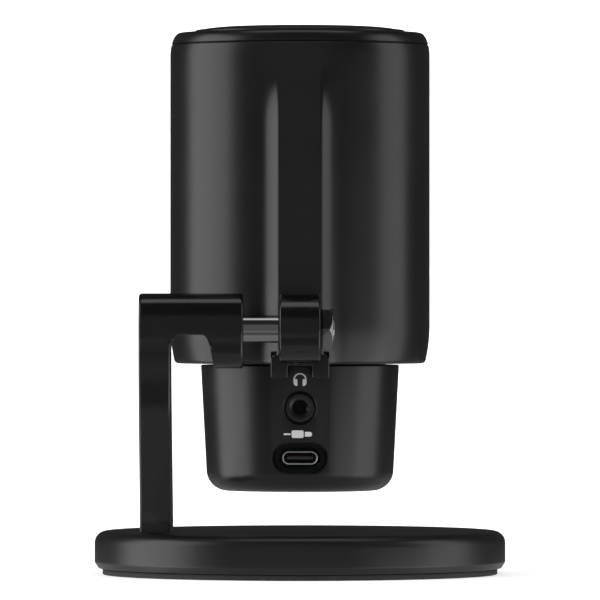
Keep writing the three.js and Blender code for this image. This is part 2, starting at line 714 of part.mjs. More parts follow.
function lowerHousing() {
  const arcR = LOWER_FOOT_R - LOWER_EDGE_R;
  const arcZ = -LOWER_H + LOWER_EDGE_R;
  const profile = [
    [0, -LOWER_H],
    ...arc(arcR, arcZ, LOWER_EDGE_R, -90, 0),
    [LOWER_R, -FIT],
    [LOWER_R - LOWER_WALL, -FIT],
    ...arc(arcR, arcZ, LOWER_EDGE_R - LOWER_WALL, 0, -90, 2),
    [0, -LOWER_H + LOWER_WALL],
  ];
  const cup = solid(turned(profile));
  const bosses = housingScrewPlaces.map(({ x, y }) =>
    solid(ring(0, BOSS_D / 2, -BOSS_L, -FIT, TINY_ROUND).translate(x, y, 0)),
  );
  // Keeps the bosses inside the wall
  const round = solid(ring(0, LOWER_R - LOWER_WALL / 2, -LOWER_H, 0, ROUND));
  const jackHole = solid(
    towards(ring(0, JACK_HOLE_D / 2, 0, LOWER_R, SMALL_ROUND), Y).translate(0, BOARD_BACK, -JACK_DOWN),
  );
  const face = lowerRadius(USB_DOWN);
  const port = ({ width, height }, from) =>
    solid(plate(slotShape(width, height), LOWER_R).applyMatrix4(ALONG_BACK).translate(0, from, -USB_DOWN));
  return without(
    joined(cup, ...bosses.map((boss) => boss.intersect(round))),
    jackHole,
    port(USB_RECESS, face - USB_RECESS.deep),
    port(USB_WINDOW, BOARD_BACK),
    ...screwHoles(M3_SCREW, housingScrewPlaces, DOWN, M3_SCREW.length + 1, { slack: FLUSH }),
  );
}

function mainBoard() {
  const half = MAIN_BOARD_W / 2;
  return without(
    solid(block([-half, half], [BOARD_FRONT, BOARD_BACK], [BOARD_LOW, BOARD_TOP])),
    ...screwHoles(M2_SCREW, boardScrewPlaces, FORWARDS, M2_SCREW.length),
  );
}

function audioChip() {
  const place = -MAIN_BOARD_W / 2 + CHIP_SIDE / 2 + 1;
  const middle = (BOARD_LOW + BOARD_TOP) / 2;
  const half = CHIP_SIDE / 2;
  const low = BOARD_BACK + FLUSH;
  return solid(block([place - half, place + half], [low, low + CHIP_T], [middle - half, middle + half]));
}

const USB_MOUTH = lowerRadius(USB_DOWN) - USB_RECESS.deep - 0.3;
const USB_LOW = BOARD_BACK + FLUSH;

function usbShell() {
  const { width, height, wall: thick } = USB_SHELL;
  const length = USB_MOUTH - USB_LOW;
  const outer = plate(slotShape(width, height), length, 0, 4);
  const inner = plate(slotShape(width - 2 * thick, height - 2 * thick), length + 2, 0, 4).translate(0, 0, -1);
  return without(solid(outer), solid(inner));
}

function usbTongue() {
  const { width, height, wall: thick } = USB_SHELL;
  const blockW = width - height - 2 * thick;
  const blockH = height - 2 * thick - 2 * FIT;
  const length = USB_MOUTH - USB_LOW;
  const root = block([-blockW / 2, blockW / 2], [-blockH / 2, blockH / 2], [0, length / 3]);
  const [w, h] = [USB_TONGUE.width / 2, USB_TONGUE.height / 2];
  return joined(solid(root), solid(block([-w, w], [-h, h], [0, length - 1])));
}

const JACK_FACE = lowerRadius(JACK_DOWN) - 0.7;
const JACK_BODY_BACK = lowerRadius(JACK_DOWN) - LOWER_WALL - 1.4;

function jackBody() {
  const { width, height } = JACK_BODY;
  const [w, h] = [width / 2, height / 2];
  const body = block([-w, w], [BOARD_BACK + FLUSH, JACK_BODY_BACK], [-h, h]);
  const bore = towards(ring(0, JACK_BORE_D / 2 - 0.2, 0, LOWER_R, SMALL_ROUND), Y);
  return without(solid(body), solid(bore.translate(0, BOARD_BACK + 1.2, 0)));
}

function jackCollar() {
  const lip = 0.4;
  const [r, bore] = [JACK_COLLAR_D / 2, JACK_BORE_D / 2];
  const [low, high] = [JACK_BODY_BACK + FLUSH, JACK_FACE];
  const profile = [
    [bore, low],
    [r, low],
    [r, high - lip],
    [r - lip, high],
    [bore + lip, high],
    [bore, high - lip],
  ];
  return solid(towards(turned([...profile, profile[0]], SMALL_ROUND), Y));
}

// ---------------------------------------------------------------- tilt hinge
// The hinge's pieces are placed from its axis: x along the rod, towards the arm.

function lugShape() {
  const r = LUG_D / 2;
  const front = SPINE_FACE + FIT - HINGE_BACK - 2;
  const shape = new THREE.Shape();
  shape.moveTo(front, -r);
  shape.lineTo(0, -r);
  shape.absarc(0, 0, r, -Math.PI / 2, Math.PI / 2);
  shape.lineTo(front, r);
  return shape;
}

function hingeBracket() {
  const counterbore = WASHER_T + FLUSH;
  const half = LUG_W / 2;
  const lug = solid(plate(lugShape(), LUG_W, EDGE_BREAK, 12).applyMatrix4(ALONG_X).translate(-half, 0, 0));
  const padBack = UPPER_R + PAD_PROUD + SPINE_PROUD - HINGE_BACK;
  const hookFront = LOWER_R + 1 - HINGE_BACK;
  const pad = solid(
    block([-PAD_W / 2, PAD_W / 2], [hookFront, padBack], [-HINGE_UP - PAD_DOWN, -HINGE_UP + PAD_UP]),
  );
  const scoops = [1, -1].map((side) => {
    const scoop = new THREE.SphereGeometry(PAD_SCOOP_R, 10, 8);
    return solid(scoop.translate(side * (PAD_W / 2 - PAD_SCOOP_IN), padBack, -HINGE_UP + PAD_UP));
  });
  const notchHalf = PAD_NOTCH_W / 2;
  const notch = solid(
    block([-notchHalf, notchHalf], [hookFront - 1, padBack + 1], [-HINGE_UP - PAD_DOWN - 1, -HINGE_UP - FIT]),
  );
  const skin = joined(bodySkin(FIT), spineRoom()).translate([0, -HINGE_BACK, -HINGE_UP]);
  const alongX = (inner, outer, low, high) => solid(towards(ring(inner, outer, low, high, SMALL_ROUND), X));
  const screwsHere = bracketScrewPlaces.map((place) => place.clone().sub(hingePlace));
  const screwLength = M25_SCREW.length;
  return without(
    joined(lug, pad),
    ...scoops,
    notch,
    skin,
    alongX(0, BUSH_R + FLUSH, -LUG_W, LUG_W),
    alongX(0, WASHER_D / 2 + FLUSH, half - counterbore, LUG_W),
    alongX(0, WASHER_D / 2 + FLUSH, -LUG_W, -half + counterbore),
    ...screwHoles(M25_SCREW, screwsHere, BACKWARDS, screwLength + 0.4, { slack: FLUSH }),
  );
}

// The space behind the wall that the spine and its fillets take, as wide as the pad
function spineRoom() {
  const half = PAD_W / 2 + FIT;
  return solid(block([-half, half], [0, SPINE_FACE + FIT], [-FIT, SPINE_TOP]));
}

function alongRod(profile, sides = SMALL_ROUND) {
  return solid(towards(turned(profile, sides), X));
}

function lugBush() {
  const half = LUG_W / 2 - WASHER_T - 2 * FLUSH;
  return solid(towards(ring(THREAD_D / 2 + RUNNING, BUSH_R, -half, half), X));
}

function washer(side) {
  const near = LUG_W / 2 - WASHER_T - FLUSH;
  const [low, high] = side > 0 ? [near, near + WASHER_T] : [-near - WASHER_T, -near];
  return solid(towards(ring(THREAD_D / 2 + RUNNING, WASHER_D / 2, low, high), X));
}

const NUT_NEAR = -LUG_W / 2 - FLUSH;

function pivotNut() {
  const hexagon = Array.from({ length: 6 }, (_, i) => {
    const corner = around(NUT_CORNER_R, 60 * i);
    return new THREE.Vector2(corner.x, corner.y);
  });
  const prism = plate(new THREE.Shape(hexagon), NUT_T).applyMatrix4(ALONG_X);
  const flatR = NUT_FLATS / 2 - 0.2;
  const drop = (NUT_CORNER_R - flatR) * Math.tan(THREE.MathUtils.degToRad(NUT_CHAMFER));
  const cone = [
    [THREAD_D / 2 + FLUSH, NUT_NEAR],
    [NUT_CORNER_R + 0.1, NUT_NEAR],
    [NUT_CORNER_R + 0.1, NUT_NEAR - NUT_T + drop],
    [flatR, NUT_NEAR - NUT_T],
    [THREAD_D / 2 + FLUSH, NUT_NEAR - NUT_T],
  ];
  const chamfered = alongRod([...cone, cone[0]].reverse(), 36);
  return solid(prism.translate(NUT_NEAR - NUT_T, 0, 0)).intersect(chamfered);
}

const ROD_END = KNUCKLE_X + KNUCKLE_W - 1.5;

function pivotRod() {
  const [thread, body] = [THREAD_D / 2, ROD_D / 2];
  const tip = NUT_NEAR - NUT_T - THREAD_OUT;
  return alongRod([
    [0, tip],
    [thread - 0.5, tip],
    [thread, tip + 0.5],
    [thread, LUG_W / 2],
    [body, LUG_W / 2],
    [body, ROD_END - 0.5],
    [body - 0.5, ROD_END],
    [0, ROD_END],
  ]);
}

// ---------------------------------------------------------------- arm

// The knuckle's outline: a crowned back with tighter corners, and a round front about the rod
function knuckleShape() {
  const half = KNUCKLE_H / 2;
  const lean = Math.asin((half - KNUCKLE_CORNER_R) / (KNUCKLE_FACE_R - KNUCKLE_CORNER_R));
  const faceY = KNUCKLE_BACK - KNUCKLE_FACE_R;
  const reach = KNUCKLE_FACE_R - KNUCKLE_CORNER_R;
  const cornerY = faceY + reach * Math.cos(lean);
  const cornerZ = reach * Math.sin(lean);
  const right = Math.PI / 2;
  const shape = new THREE.Shape();
  shape.absarc(cornerY, -cornerZ - KNUCKLE_DROP, KNUCKLE_CORNER_R, -right, -lean);
  shape.absarc(faceY, -KNUCKLE_DROP, KNUCKLE_FACE_R, -lean, lean);
  shape.absarc(cornerY, cornerZ - KNUCKLE_DROP, KNUCKLE_CORNER_R, lean, right);
  shape.absarc(0, -KNUCKLE_DROP, half, right, 3 * right);
  return shape;
}

function armBlade() {
  const footZ = BASE_H + FLUSH - SEAM_UP - HINGE_UP;
  const footY = ARM_FOOT_Y - hingeWorld.y;
  const half = ARM_FOOT_L / 2;
  const neck = KNUCKLE_H / 2 - 1.2;
  const shape = new THREE.Shape();
  shape.moveTo(footY - half, footZ);
  shape.lineTo(footY + half, footZ);
  shape.bezierCurveTo(footY + half - 3, footZ * 0.62, neck, footZ * 0.5, neck, -2);
  shape.lineTo(-neck, -1);
  shape.bezierCurveTo(-neck, footZ * 0.4, footY - half + 6, footZ * 0.7, footY - half, footZ);
  return shape;
}

function standArm() {
  const head = plate(knuckleShape(), KNUCKLE_W + NECK_L + ARM_T, EDGE_BREAK).applyMatrix4(ALONG_X);
  const blade = plate(armBlade(), ARM_T, EDGE_BREAK).applyMatrix4(ALONG_X);
  const under = block([KNUCKLE_X + KNUCKLE_W, ARM_X], [-KNUCKLE_H, KNUCKLE_H], [-KNUCKLE_H, -NECK_UNDER]);
  const bore = towards(ring(0, ROD_D / 2 + FLUSH, 0, ROD_END + FLUSH), X);
  const grub = ring(0, GRUB.d / 2 + FLUSH, -KNUCKLE_H, 0, TINY_ROUND).translate(GRUB_X, 0, 0);
  const screwsHere = armScrewPlaces.map((place) => place.clone().sub(hingeWorld));
  return without(
    joined(solid(head.translate(KNUCKLE_X, 0, 0)), solid(blade.translate(ARM_X, 0, 0))),
    solid(under),
    solid(bore),
    solid(grub),
    ...screwHoles(M4_SCREW, screwsHere, Z, M4_SCREW.length + 0.5, { slack: FLUSH }),
  );
}

const GRUB_X = KNUCKLE_X + KNUCKLE_W / 2;

function rodSetScrew() {
  const high = -ROD_D / 2 - FLUSH;
  const low = high - GRUB.length;
  return solid(ring(0, GRUB.d / 2, low, high, TINY_ROUND).translate(GRUB_X, 0, 0));
}

// ---------------------------------------------------------------- base

const PLATE_LOW = FOOT_PAD_T + FLUSH;
const PLATE_HIGH = PLATE_LOW + PLATE_T;
const WEIGHT_HIGH = BASE_H - BASE_WALL - FIT;
const WEIGHT_LOW = WEIGHT_HIGH - WEIGHT_T;
const CAVITY_R = BASE_D / 2 - BASE_WALL;
const BASE_BOSS_D = 5;
const BASE_BOSS_AT = CAVITY_R - BASE_BOSS_D / 2 + 0.3;
const WEIGHT_R = BASE_BOSS_AT - BASE_BOSS_D / 2 - FIT;
const baseScrewPlaces = [90, 210, 330].map((degrees) =>
  around(BASE_BOSS_AT, degrees, PLATE_LOW + M2_SCREW.headH + FLUSH),
);
const armScrewPlaces = [-1, 1].map((side) => {
  const y = ARM_FOOT_Y + ARM_SCREW_BACK + (side * ARM_SCREW_SPAN) / 2;
  return new THREE.Vector3(ARM_X + ARM_T / 2, y, WEIGHT_LOW + M4_SCREW.headH + FLUSH);
});

function baseShell() {
  const r = BASE_D / 2;
  const profile = [
    [CAVITY_R, PLATE_LOW],
    [r - 1, PLATE_LOW],
    [r, PLATE_LOW + 2],
    ...arc(r - BASE_EDGE_R, BASE_H - BASE_EDGE_R, BASE_EDGE_R, 0, 90, 4),
    [0, BASE_H],
    [0, BASE_H - BASE_WALL],
    [CAVITY_R, BASE_H - BASE_WALL],
  ];
  const bosses = baseScrewPlaces.map(({ x, y }) =>
    solid(ring(0, BASE_BOSS_D / 2, PLATE_HIGH + FIT, BASE_H - 1, TINY_ROUND).translate(x, y, 0)),
  );
  return without(
    joined(solid(turned([...profile, profile[0]])), ...bosses),
    ...screwHoles(M4_SCREW, armScrewPlaces, Z, M4_SCREW.length),
    ...screwHoles(M2_SCREW, baseScrewPlaces, Z, M2_SCREW.length + FIT, { slack: FLUSH }),
  );
}

function baseWeight() {
  return without(
    solid(ring(0, WEIGHT_R, WEIGHT_LOW, WEIGHT_HIGH, ROUND)),
    ...screwHoles(M4_SCREW, armScrewPlaces, Z, M4_SCREW.length, { headRoom: M4_SCREW.headH + 1 }),
  );
}

function basePlate() {
  return without(
    solid(ring(0, CAVITY_R - FIT, PLATE_LOW, PLATE_HIGH, ROUND)),
    ...screwHoles(M2_SCREW, baseScrewPlaces, Z, M2_SCREW.length, { headRoom: M2_SCREW.headH + 1 }),
  );
}

function footPad() {
  return solid(ring(0, BASE_D / 2 - FOOT_INSET, 0, FOOT_PAD_T, ROUND));
}

// ---------------------------------------------------------------- assembly

const hingePlace = new THREE.Vector3(0, HINGE_BACK, HINGE_UP);
const bodyWorld = new THREE.Vector3(0, -BODY_AHEAD, SEAM_UP);
const hingeWorld = bodyWorld.clone().add(hingePlace);

const stand = new THREE.Group();
stand.add(
  node("foot_pad", footPad(), RUBBER_BLACK),
  node("base_plate", basePlate(), INNER_BLACK),
  node("base_weight", baseWeight(), DARK_STEEL),
  node("base_shell", baseShell(), SATIN_BLACK),
  ...screws("base_screw", M2_SCREW, baseScrewPlaces, Z),
  ...screws("arm_screw", M4_SCREW, armScrewPlaces, Z),
);

const pivot = new THREE.Group();
pivot.position.copy(hingeWorld);
pivot.add(
  node("stand_arm", standArm(), SATIN_BLACK),
  node("rod_set_screw", rodSetScrew(), DARK_STEEL),
  node("pivot_rod", pivotRod(), STEEL),
  node("pivot_nut", pivotNut(), DARK_STEEL),
  node("nut_washer", washer(-1), STEEL),
  node("friction_washer", washer(1), NYLON),
  node("lug_bush", lugBush(), NYLON),
  node("hinge_bracket", hingeBracket(), SATIN_BLACK),
);

const body = new THREE.Group();
body.position.copy(bodyWorld);
body.add(
  node("upper_housing", upperHousing(), SATIN_BLACK),
  node("grille", grille(), GRILLE_BLACK),
  node("windscreen_foam", windscreenFoam(), FOAM_BLACK),
  node("chassis", chassis(), INNER_BLACK),
  node("capsule", capsule(), STEEL),
  node("capsule_mount", capsuleMount(), RUBBER_BLACK),
  node("capsule_clamp", capsuleClamp(), INNER_BLACK),
  node("capsule_lead", capsuleLead(), WIRE_GREY),
  node("button_ribbon", buttonRibbon(), WIRE_GREY),
  node("lower_housing", lowerHousing(), SATIN_BLACK),
  node("main_board", mainBoard(), BOARD_GREEN),
  node("audio_chip", audioChip(), CHIP_BLACK),
  node("jack_body", jackBody(), CHIP_BLACK, [0, 0, -JACK_DOWN]),
  node("jack_collar", jackCollar(), INNER_BLACK, [0, 0, -JACK_DOWN]),
  ...screws("housing_screw", M3_SCREW, housingScrewPlaces, DOWN),
  ...screws("bracket_screw", M25_SCREW, bracketScrewPlaces, BACKWARDS),
  ...screws("board_screw", M2_SCREW, boardScrewPlaces, FORWARDS),
  ...screws("clamp_screw", M2_SCREW, clampScrewPlaces, BACKWARDS),
);

const usbPort = new THREE.Group();
usbPort.position.set(0, USB_LOW, -USB_DOWN);
usbPort.rotation.set(-Math.PI / 2, 0, 0);
usbPort.add(node("usb_shell", usbShell(), STEEL), node("usb_tongue", usbTongue(), CHIP_BLACK));
body.add(usbPort);

const top = new THREE.Group();
top.position.set(0, 0, UPPER_H);
top.add(
  node("top_rim", topRim(), SATIN_BLACK),
  node("mute_cap", muteCap(), CAP_BLACK),
  node("switch_plunger", switchPlunger(), NYLON),
  node("switch_body", switchBody(), CHIP_BLACK),
  node("button_board", buttonBoard(), BOARD_GREEN),
  node("button_deck", buttonDeck(), INNER_BLACK),
  ...springPlaces.map((place, i) => node(`button_spring_${i + 1}`, buttonSpring(), STEEL, place.toArray())),
  ...screws("deck_screw", M2_SCREW, deckScrewPlaces, Z),
);
body.add(top);

const microphone = new THREE.Group();
microphone.add(stand, pivot, body);

export default microphone;
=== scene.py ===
"""A desktop microphone's visual model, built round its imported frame.

Sizes are in millimetres, and become metres where a mesh is made. Places come from the frame's own boxes.
The microphone's back, with the hinge and the ports, faces +Y. The talker sits at -Y. +Z is up.
"""

from __future__ import annotations

import json
import logging
import math
from dataclasses import dataclass, field
from enum import Enum
from typing import Any, Callable, Iterable, Sequence

import bmesh
import bpy
from mathutils import Matrix, Vector, noise

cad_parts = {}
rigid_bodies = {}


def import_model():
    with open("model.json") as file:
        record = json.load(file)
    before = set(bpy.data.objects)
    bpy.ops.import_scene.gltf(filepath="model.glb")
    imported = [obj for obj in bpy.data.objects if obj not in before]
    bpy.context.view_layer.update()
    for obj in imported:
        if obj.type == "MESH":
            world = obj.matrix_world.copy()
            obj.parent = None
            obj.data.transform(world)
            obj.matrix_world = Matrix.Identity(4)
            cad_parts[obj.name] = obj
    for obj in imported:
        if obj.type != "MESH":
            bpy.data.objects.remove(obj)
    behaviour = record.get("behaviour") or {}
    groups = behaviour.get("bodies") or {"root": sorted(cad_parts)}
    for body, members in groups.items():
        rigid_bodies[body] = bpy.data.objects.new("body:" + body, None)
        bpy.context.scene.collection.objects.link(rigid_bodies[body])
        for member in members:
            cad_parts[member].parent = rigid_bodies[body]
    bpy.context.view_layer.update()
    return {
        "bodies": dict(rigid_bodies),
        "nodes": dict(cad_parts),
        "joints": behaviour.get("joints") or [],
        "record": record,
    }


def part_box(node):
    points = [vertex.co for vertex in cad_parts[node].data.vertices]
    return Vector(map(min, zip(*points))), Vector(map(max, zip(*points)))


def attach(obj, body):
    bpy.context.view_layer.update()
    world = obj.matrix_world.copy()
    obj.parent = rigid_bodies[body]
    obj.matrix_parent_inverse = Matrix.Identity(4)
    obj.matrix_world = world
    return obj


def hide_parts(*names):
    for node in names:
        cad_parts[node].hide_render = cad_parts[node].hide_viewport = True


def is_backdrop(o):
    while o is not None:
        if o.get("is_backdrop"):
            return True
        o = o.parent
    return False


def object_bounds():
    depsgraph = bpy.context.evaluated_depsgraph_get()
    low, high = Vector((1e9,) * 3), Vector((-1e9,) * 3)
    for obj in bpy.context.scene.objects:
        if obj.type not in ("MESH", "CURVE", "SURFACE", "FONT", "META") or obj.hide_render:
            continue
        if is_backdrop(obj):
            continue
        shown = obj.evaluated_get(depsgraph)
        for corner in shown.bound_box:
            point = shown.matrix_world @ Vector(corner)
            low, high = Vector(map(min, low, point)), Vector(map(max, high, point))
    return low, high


log = logging.getLogger("microphone")

MM = 0.001
FINE = 224  # sides of the large turned pieces
SMALL = 96  # sides of the small ones
CREASE = math.radians(32)  # edges sharper than this stay crisp
TINY = 1e-6

Pair = tuple[float, float]
Colour = tuple[float, float, float]


class Body(Enum):
    """The frame's moving bodies."""

    STAND = "stand"
    MICROPHONE = "microphone"
    BUTTON = "mute_button"


class Facing(Enum):
    """Which way a drawing's face looks: where its right, up and outward directions go."""

    UP = ((1, 0, 0), (0, 1, 0), (0, 0, 1))
    ARM_SIDE = ((0, 1, 0), (0, 0, 1), (1, 0, 0))
    BACK = ((-1, 0, 0), (0, 0, 1), (0, 1, 0))

    def at(self, x: float = 0.0, y: float = 0.0, z: float = 0.0) -> Matrix:
        """Lay a drawing this way with its origin at a place, in millimetres."""
        turned = Matrix(self.value).transposed().to_4x4()
        turned.translation = (x, y, z)
        return turned


class Carving(Enum):
    """What one solid does to another."""

    ADD = "UNION"
    CUT = "DIFFERENCE"
    KEEP_COMMON = "INTERSECT"


@dataclass(frozen=True)
class Span:
    """The box of one of the frame's pieces, in millimetres."""

    low: Vector
    high: Vector

    @classmethod
    def of(cls, node: str) -> "Span":
        """Measure a piece of the frame."""
        low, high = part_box(node)
        return cls(low / MM, high / MM)

    @property
    def middle(self) -> Vector:
        """The box's centre."""
        return (self.low + self.high) / 2

    @property
    def size(self) -> Vector:
        """The box's three sides."""
        return self.high - self.low


# ---------------------------------------------------------------- node graphs


class Value:
    """A number on its way between two nodes. Python's operators add Math nodes to it."""

    def __init__(self, graph: "Graph", socket: bpy.types.NodeSocket) -> None:
        """Wrap an output socket of a graph."""
        self.graph = graph
        self.socket = socket

    def _math(self, operation: str, *terms: Any) -> "Value":
        """Add a Math node.

        Args:
            operation: the node's operation.
            terms: values or numbers, in the node's own order.

        Returns:
            The result.
        """
        found = self.graph.add("ShaderNodeMath", {"operation": operation}, dict(enumerate(terms)))
        return Value(self.graph, found.outputs[0])

    def __add__(self, other: Any) -> "Value":
        """self + other."""
        return self._math("ADD", self, other)

    __radd__ = __add__

    def __sub__(self, other: Any) -> "Value":
        """self - other."""
        return self._math("SUBTRACT", self, other)

    def __rsub__(self, other: Any) -> "Value":
        """other - self."""
        return self._math("SUBTRACT", other, self)

    def __mul__(self, other: Any) -> "Value":
        """self * other."""
        return self._math("MULTIPLY", self, other)

    __rmul__ = __mul__

    def __truediv__(self, other: Any) -> "Value":
        """self / other."""
        return self._math("DIVIDE", self, other)

    def __rtruediv__(self, other: Any) -> "Value":
        """other / self."""
        return self._math("DIVIDE", other, self)

    def __pow__(self, other: Any) -> "Value":
        """self ** other."""
        return self._math("POWER", self, other)

    def __gt__(self, other: Any) -> "Value":
        """1 where self is greater than other, else 0."""
        return self._math("GREATER_THAN", self, other)

    def wave(self, function: str) -> "Value":
        """Take SINE, COSINE, SQRT, ABSOLUTE or another function of one number."""
        return self._math(function, self)

    def largest(self, other: Any) -> "Value":
        """The greater of two numbers."""
        return self._math("MAXIMUM", self, other)


class Graph:
    """A node tree that is being written, of a material or of a modifier."""

    def __init__(self, tree: bpy.types.NodeTree) -> None:
        """Write into a tree."""
        self.tree = tree

    def add(
        self, kind: str, settings: dict[str, Any] | None = None, inputs: dict[Any, Any] | None = None
    ) -> bpy.types.Node:
        """Add a node of any type.

        Args:
            kind: the node's type.
            settings: its own settings, set first. "stops" are a colour ramp's (place, colour) pairs.
            inputs: what its sockets take, by name or number: a link or a value.

        Returns:
            The node.
        """
        node = self.tree.nodes.new(kind)
        for name, setting in (settings or {}).items():
            if name == "stops":
                self._ramp(node, setting)
            else:
                setattr(node, name, setting)
        for key, given in (inputs or {}).items():
            if isinstance(given, Value):
                given = given.socket
            if isinstance(given, bpy.types.NodeSocket):
                self.tree.links.new(given, node.inputs[key])
            else:
                node.inputs[key].default_value = given
        return node

    @staticmethod
    def _ramp(node: bpy.types.Node, stops: Sequence[tuple[float, Colour]]) -> None:
        """Set a colour ramp's stops."""
        elements = node.color_ramp.elements
        while len(elements) < len(stops):
            elements.new(0.5)
        for element, (place, colour) in zip(elements, stops):
            element.position = place
            element.color = (*colour, 1)

    @classmethod
    def of_modifier(cls, name: str, sizes: dict[str, str]) -> "Graph":
        """Start a modifier's tree.

        Args:
            name: the tree's name.
            sizes: its inputs, each with its kind: Float, Int or Vector.

        Returns:
            The graph, whose tree puts out geometry.
        """
        tree = bpy.data.node_groups.new(name, "GeometryNodeTree")
        for size, kind in sizes.items():
            tree.interface.new_socket(size, in_out="INPUT", socket_type=f"NodeSocket{kind}")
        tree.interface.new_socket("Geometry", in_out="OUTPUT", socket_type="NodeSocketGeometry")
        return cls(tree)

    def value(self, node: bpy.types.Node, output: Any = 0) -> Value:
        """One of a node's outputs as a value."""
        return Value(self, node.outputs[output])

    def copies(self, points: bpy.types.NodeSocket, shape: bpy.types.Object) -> bpy.types.NodeSocket:
        """Put a copy of a shape on every point, as real geometry."""
        source = self.add("GeometryNodeObjectInfo", inputs={"Object": shape}).outputs["Geometry"]
        placed = self.add("GeometryNodeInstanceOnPoints", inputs={"Points": points, "Instance": source})
        return self.add("GeometryNodeRealizeInstances", inputs={0: placed.outputs[0]}).outputs[0]

    def end(self, geometry: bpy.types.NodeSocket, material: bpy.types.Material) -> bpy.types.NodeTree:
        """Give the geometry its material, put it out and return the tree."""
        wanted = {"Geometry": geometry, "Material": material}
        dressed = self.add("GeometryNodeSetMaterial", inputs=wanted)
        self.add("NodeGroupOutput", inputs={"Geometry": dressed.outputs[0]})
        return self.tree


# ---------------------------------------------------------------- finishes


@dataclass(frozen=True)
class Finish:
    """A finish: its colour and gloss, and the fine relief and unevenness of its surface."""

    name: str
    colour: Colour
    roughness: float
    metallic: float = 0.0
    grain: float = 0.35  # size of the relief, mm
    relief: float = 0.02  # height of the relief, mm
    drift: float = 0.05  # how much the gloss wanders over the surface
    patch: float = 18.0  # size of the patches in which it wanders, mm
    mottle: float = 0.15  # how much the colour wanders
    stretch: tuple[float, float, float] = (1.0, 1.0, 1.0)  # squeezes the relief along an axis
    coat: float = 0.0
    specular: float = 0.5
    glow: float = 0.0

    def material(self) -> bpy.types.Material:
        """Write the finish as a material, once.

        Returns:
            The material of this name.
        """
        found = bpy.data.materials.get(self.name)
        if found:
            return found
        made = bpy.data.materials.new(self.name)
        made.use_nodes = True
        made.diffuse_color = (*self.colour, 1)
        made.node_tree.nodes.clear()
        graph = Graph(made.node_tree)
        place = graph.add("ShaderNodeTexCoord").outputs["Object"]
        surface = graph.add(
            "ShaderNodeBsdfPrincipled",
            inputs={
                "Metallic": self.metallic,
                "Coat Weight": self.coat,
                "Coat Roughness": 0.12,
                "Specular IOR Level": self.specular,
                "Emission Color": (1, 1, 1, 1),
                "Emission Strength": self.glow,
            },
        )
        self.paint(graph, place, surface)
        graph.add("ShaderNodeOutputMaterial", inputs={"Surface": surface.outputs[0]})
        return made

    def paint(self, graph: Graph, place: bpy.types.NodeSocket, surface: bpy.types.Node) -> None:
        """Wire the colour, the gloss and the relief.

        Args:
            graph: the material's graph.
            place: object coordinates.
            surface: the surface's shader.
        """
        patches = self.cloud(graph, place, self.patch, detail=3)
        fine = self.cloud(graph, self.stretched(graph, place), self.grain, detail=2)
        self.colour_by(graph, surface, patches * 0.6 + fine * 0.4)
        rough = patches * (2 * self.drift) + fine * self.drift + (self.roughness - 1.5 * self.drift)
        graph.tree.links.new(rough.socket, surface.inputs["Roughness"])
        self.emboss(graph, surface, fine)

    def stretched(self, graph: Graph, place: bpy.types.NodeSocket) -> bpy.types.NodeSocket:
        """Squeeze the coordinates along an axis, for a brushed or turned relief."""
        node = graph.add("ShaderNodeMapping", inputs={"Vector": place, "Scale": self.stretch})
        return node.outputs[0]

    @staticmethod
    def cloud(graph: Graph, place: bpy.types.NodeSocket, size: float, detail: float = 2) -> Value:
        """A soft random value from 0 to 1.

        Args:
            graph: the material's graph.
            place: coordinates.
            size: the size of its features, in millimetres.
            detail: how many finer layers it has.

        Returns:
            The value.
        """
        inputs = {"Vector": place, "Scale": 1 / (size * MM), "Detail": detail, "Roughness": 0.55}
        return graph.value(graph.add("ShaderNodeTexNoise", inputs=inputs))

    def colour_by(self, graph: Graph, surface: bpy.types.Node, share: Value) -> None:
        """Let the colour wander between a darker and a lighter shade of itself."""
        dark = tuple(c * (1 - self.mottle) for c in self.colour)
        light = tuple(min(1.0, c * (1 + self.mottle)) for c in self.colour)
        ramp = graph.add(
            "ShaderNodeValToRGB", {"stops": [(0.3, dark), (0.7, light)]}, {"Fac": share}
        )
        graph.tree.links.new(ramp.outputs[0], surface.inputs["Base Color"])

    def emboss(self, graph: Graph, surface: bpy.types.Node, height: Value) -> None:
        """Raise the relief."""
        bump = graph.add(
            "ShaderNodeBump", inputs={"Height": height, "Distance": self.relief * MM, "Strength": 0.6}
        )
        graph.tree.links.new(bump.outputs[0], surface.inputs["Normal"])


@dataclass(frozen=True)
class FoamFinish(Finish):
    """Open-cell foam: small round pores."""

    pore: float = 0.9  # mm

    def paint(self, graph: Graph, place: bpy.types.NodeSocket, surface: bpy.types.Node) -> None:
        """Sink the pores and paint shade in them: the colour darkens towards each pore's middle."""
        cells = graph.add("ShaderNodeTexVoronoi", inputs={"Vector": place, "Scale": 1 / (self.pore * MM)})
        walls = graph.value(cells, "Distance")
        patches = self.cloud(graph, place, self.patch)
        self.colour_by(graph, surface, walls * 0.8 + patches * 0.3)
        rough = patches * self.drift + self.roughness
        graph.tree.links.new(rough.socket, surface.inputs["Roughness"])
        self.emboss(graph, surface, walls)


@dataclass(frozen=True)
class BoardFinish(Finish):
    """Solder mask over copper tracks."""

    track: float = 1.1  # distance between tracks, mm

    def paint(self, graph: Graph, place: bpy.types.NodeSocket, surface: bpy.types.Node) -> None:
        """Draw the tracks as raised, lighter lines."""
        bricks = graph.add(
            "ShaderNodeTexBrick",
            inputs={"Vector": place, "Scale": 1 / (self.track * MM), "Mortar Size": 0.06, "Bias": 0.2},
        )
        lines = graph.value(bricks, "Fac")
        self.colour_by(graph, surface, 1 - lines * 0.8)
        rough = self.cloud(graph, place, self.patch) * self.drift + self.roughness
        graph.tree.links.new(rough.socket, surface.inputs["Roughness"])
        self.emboss(graph, surface, lines)


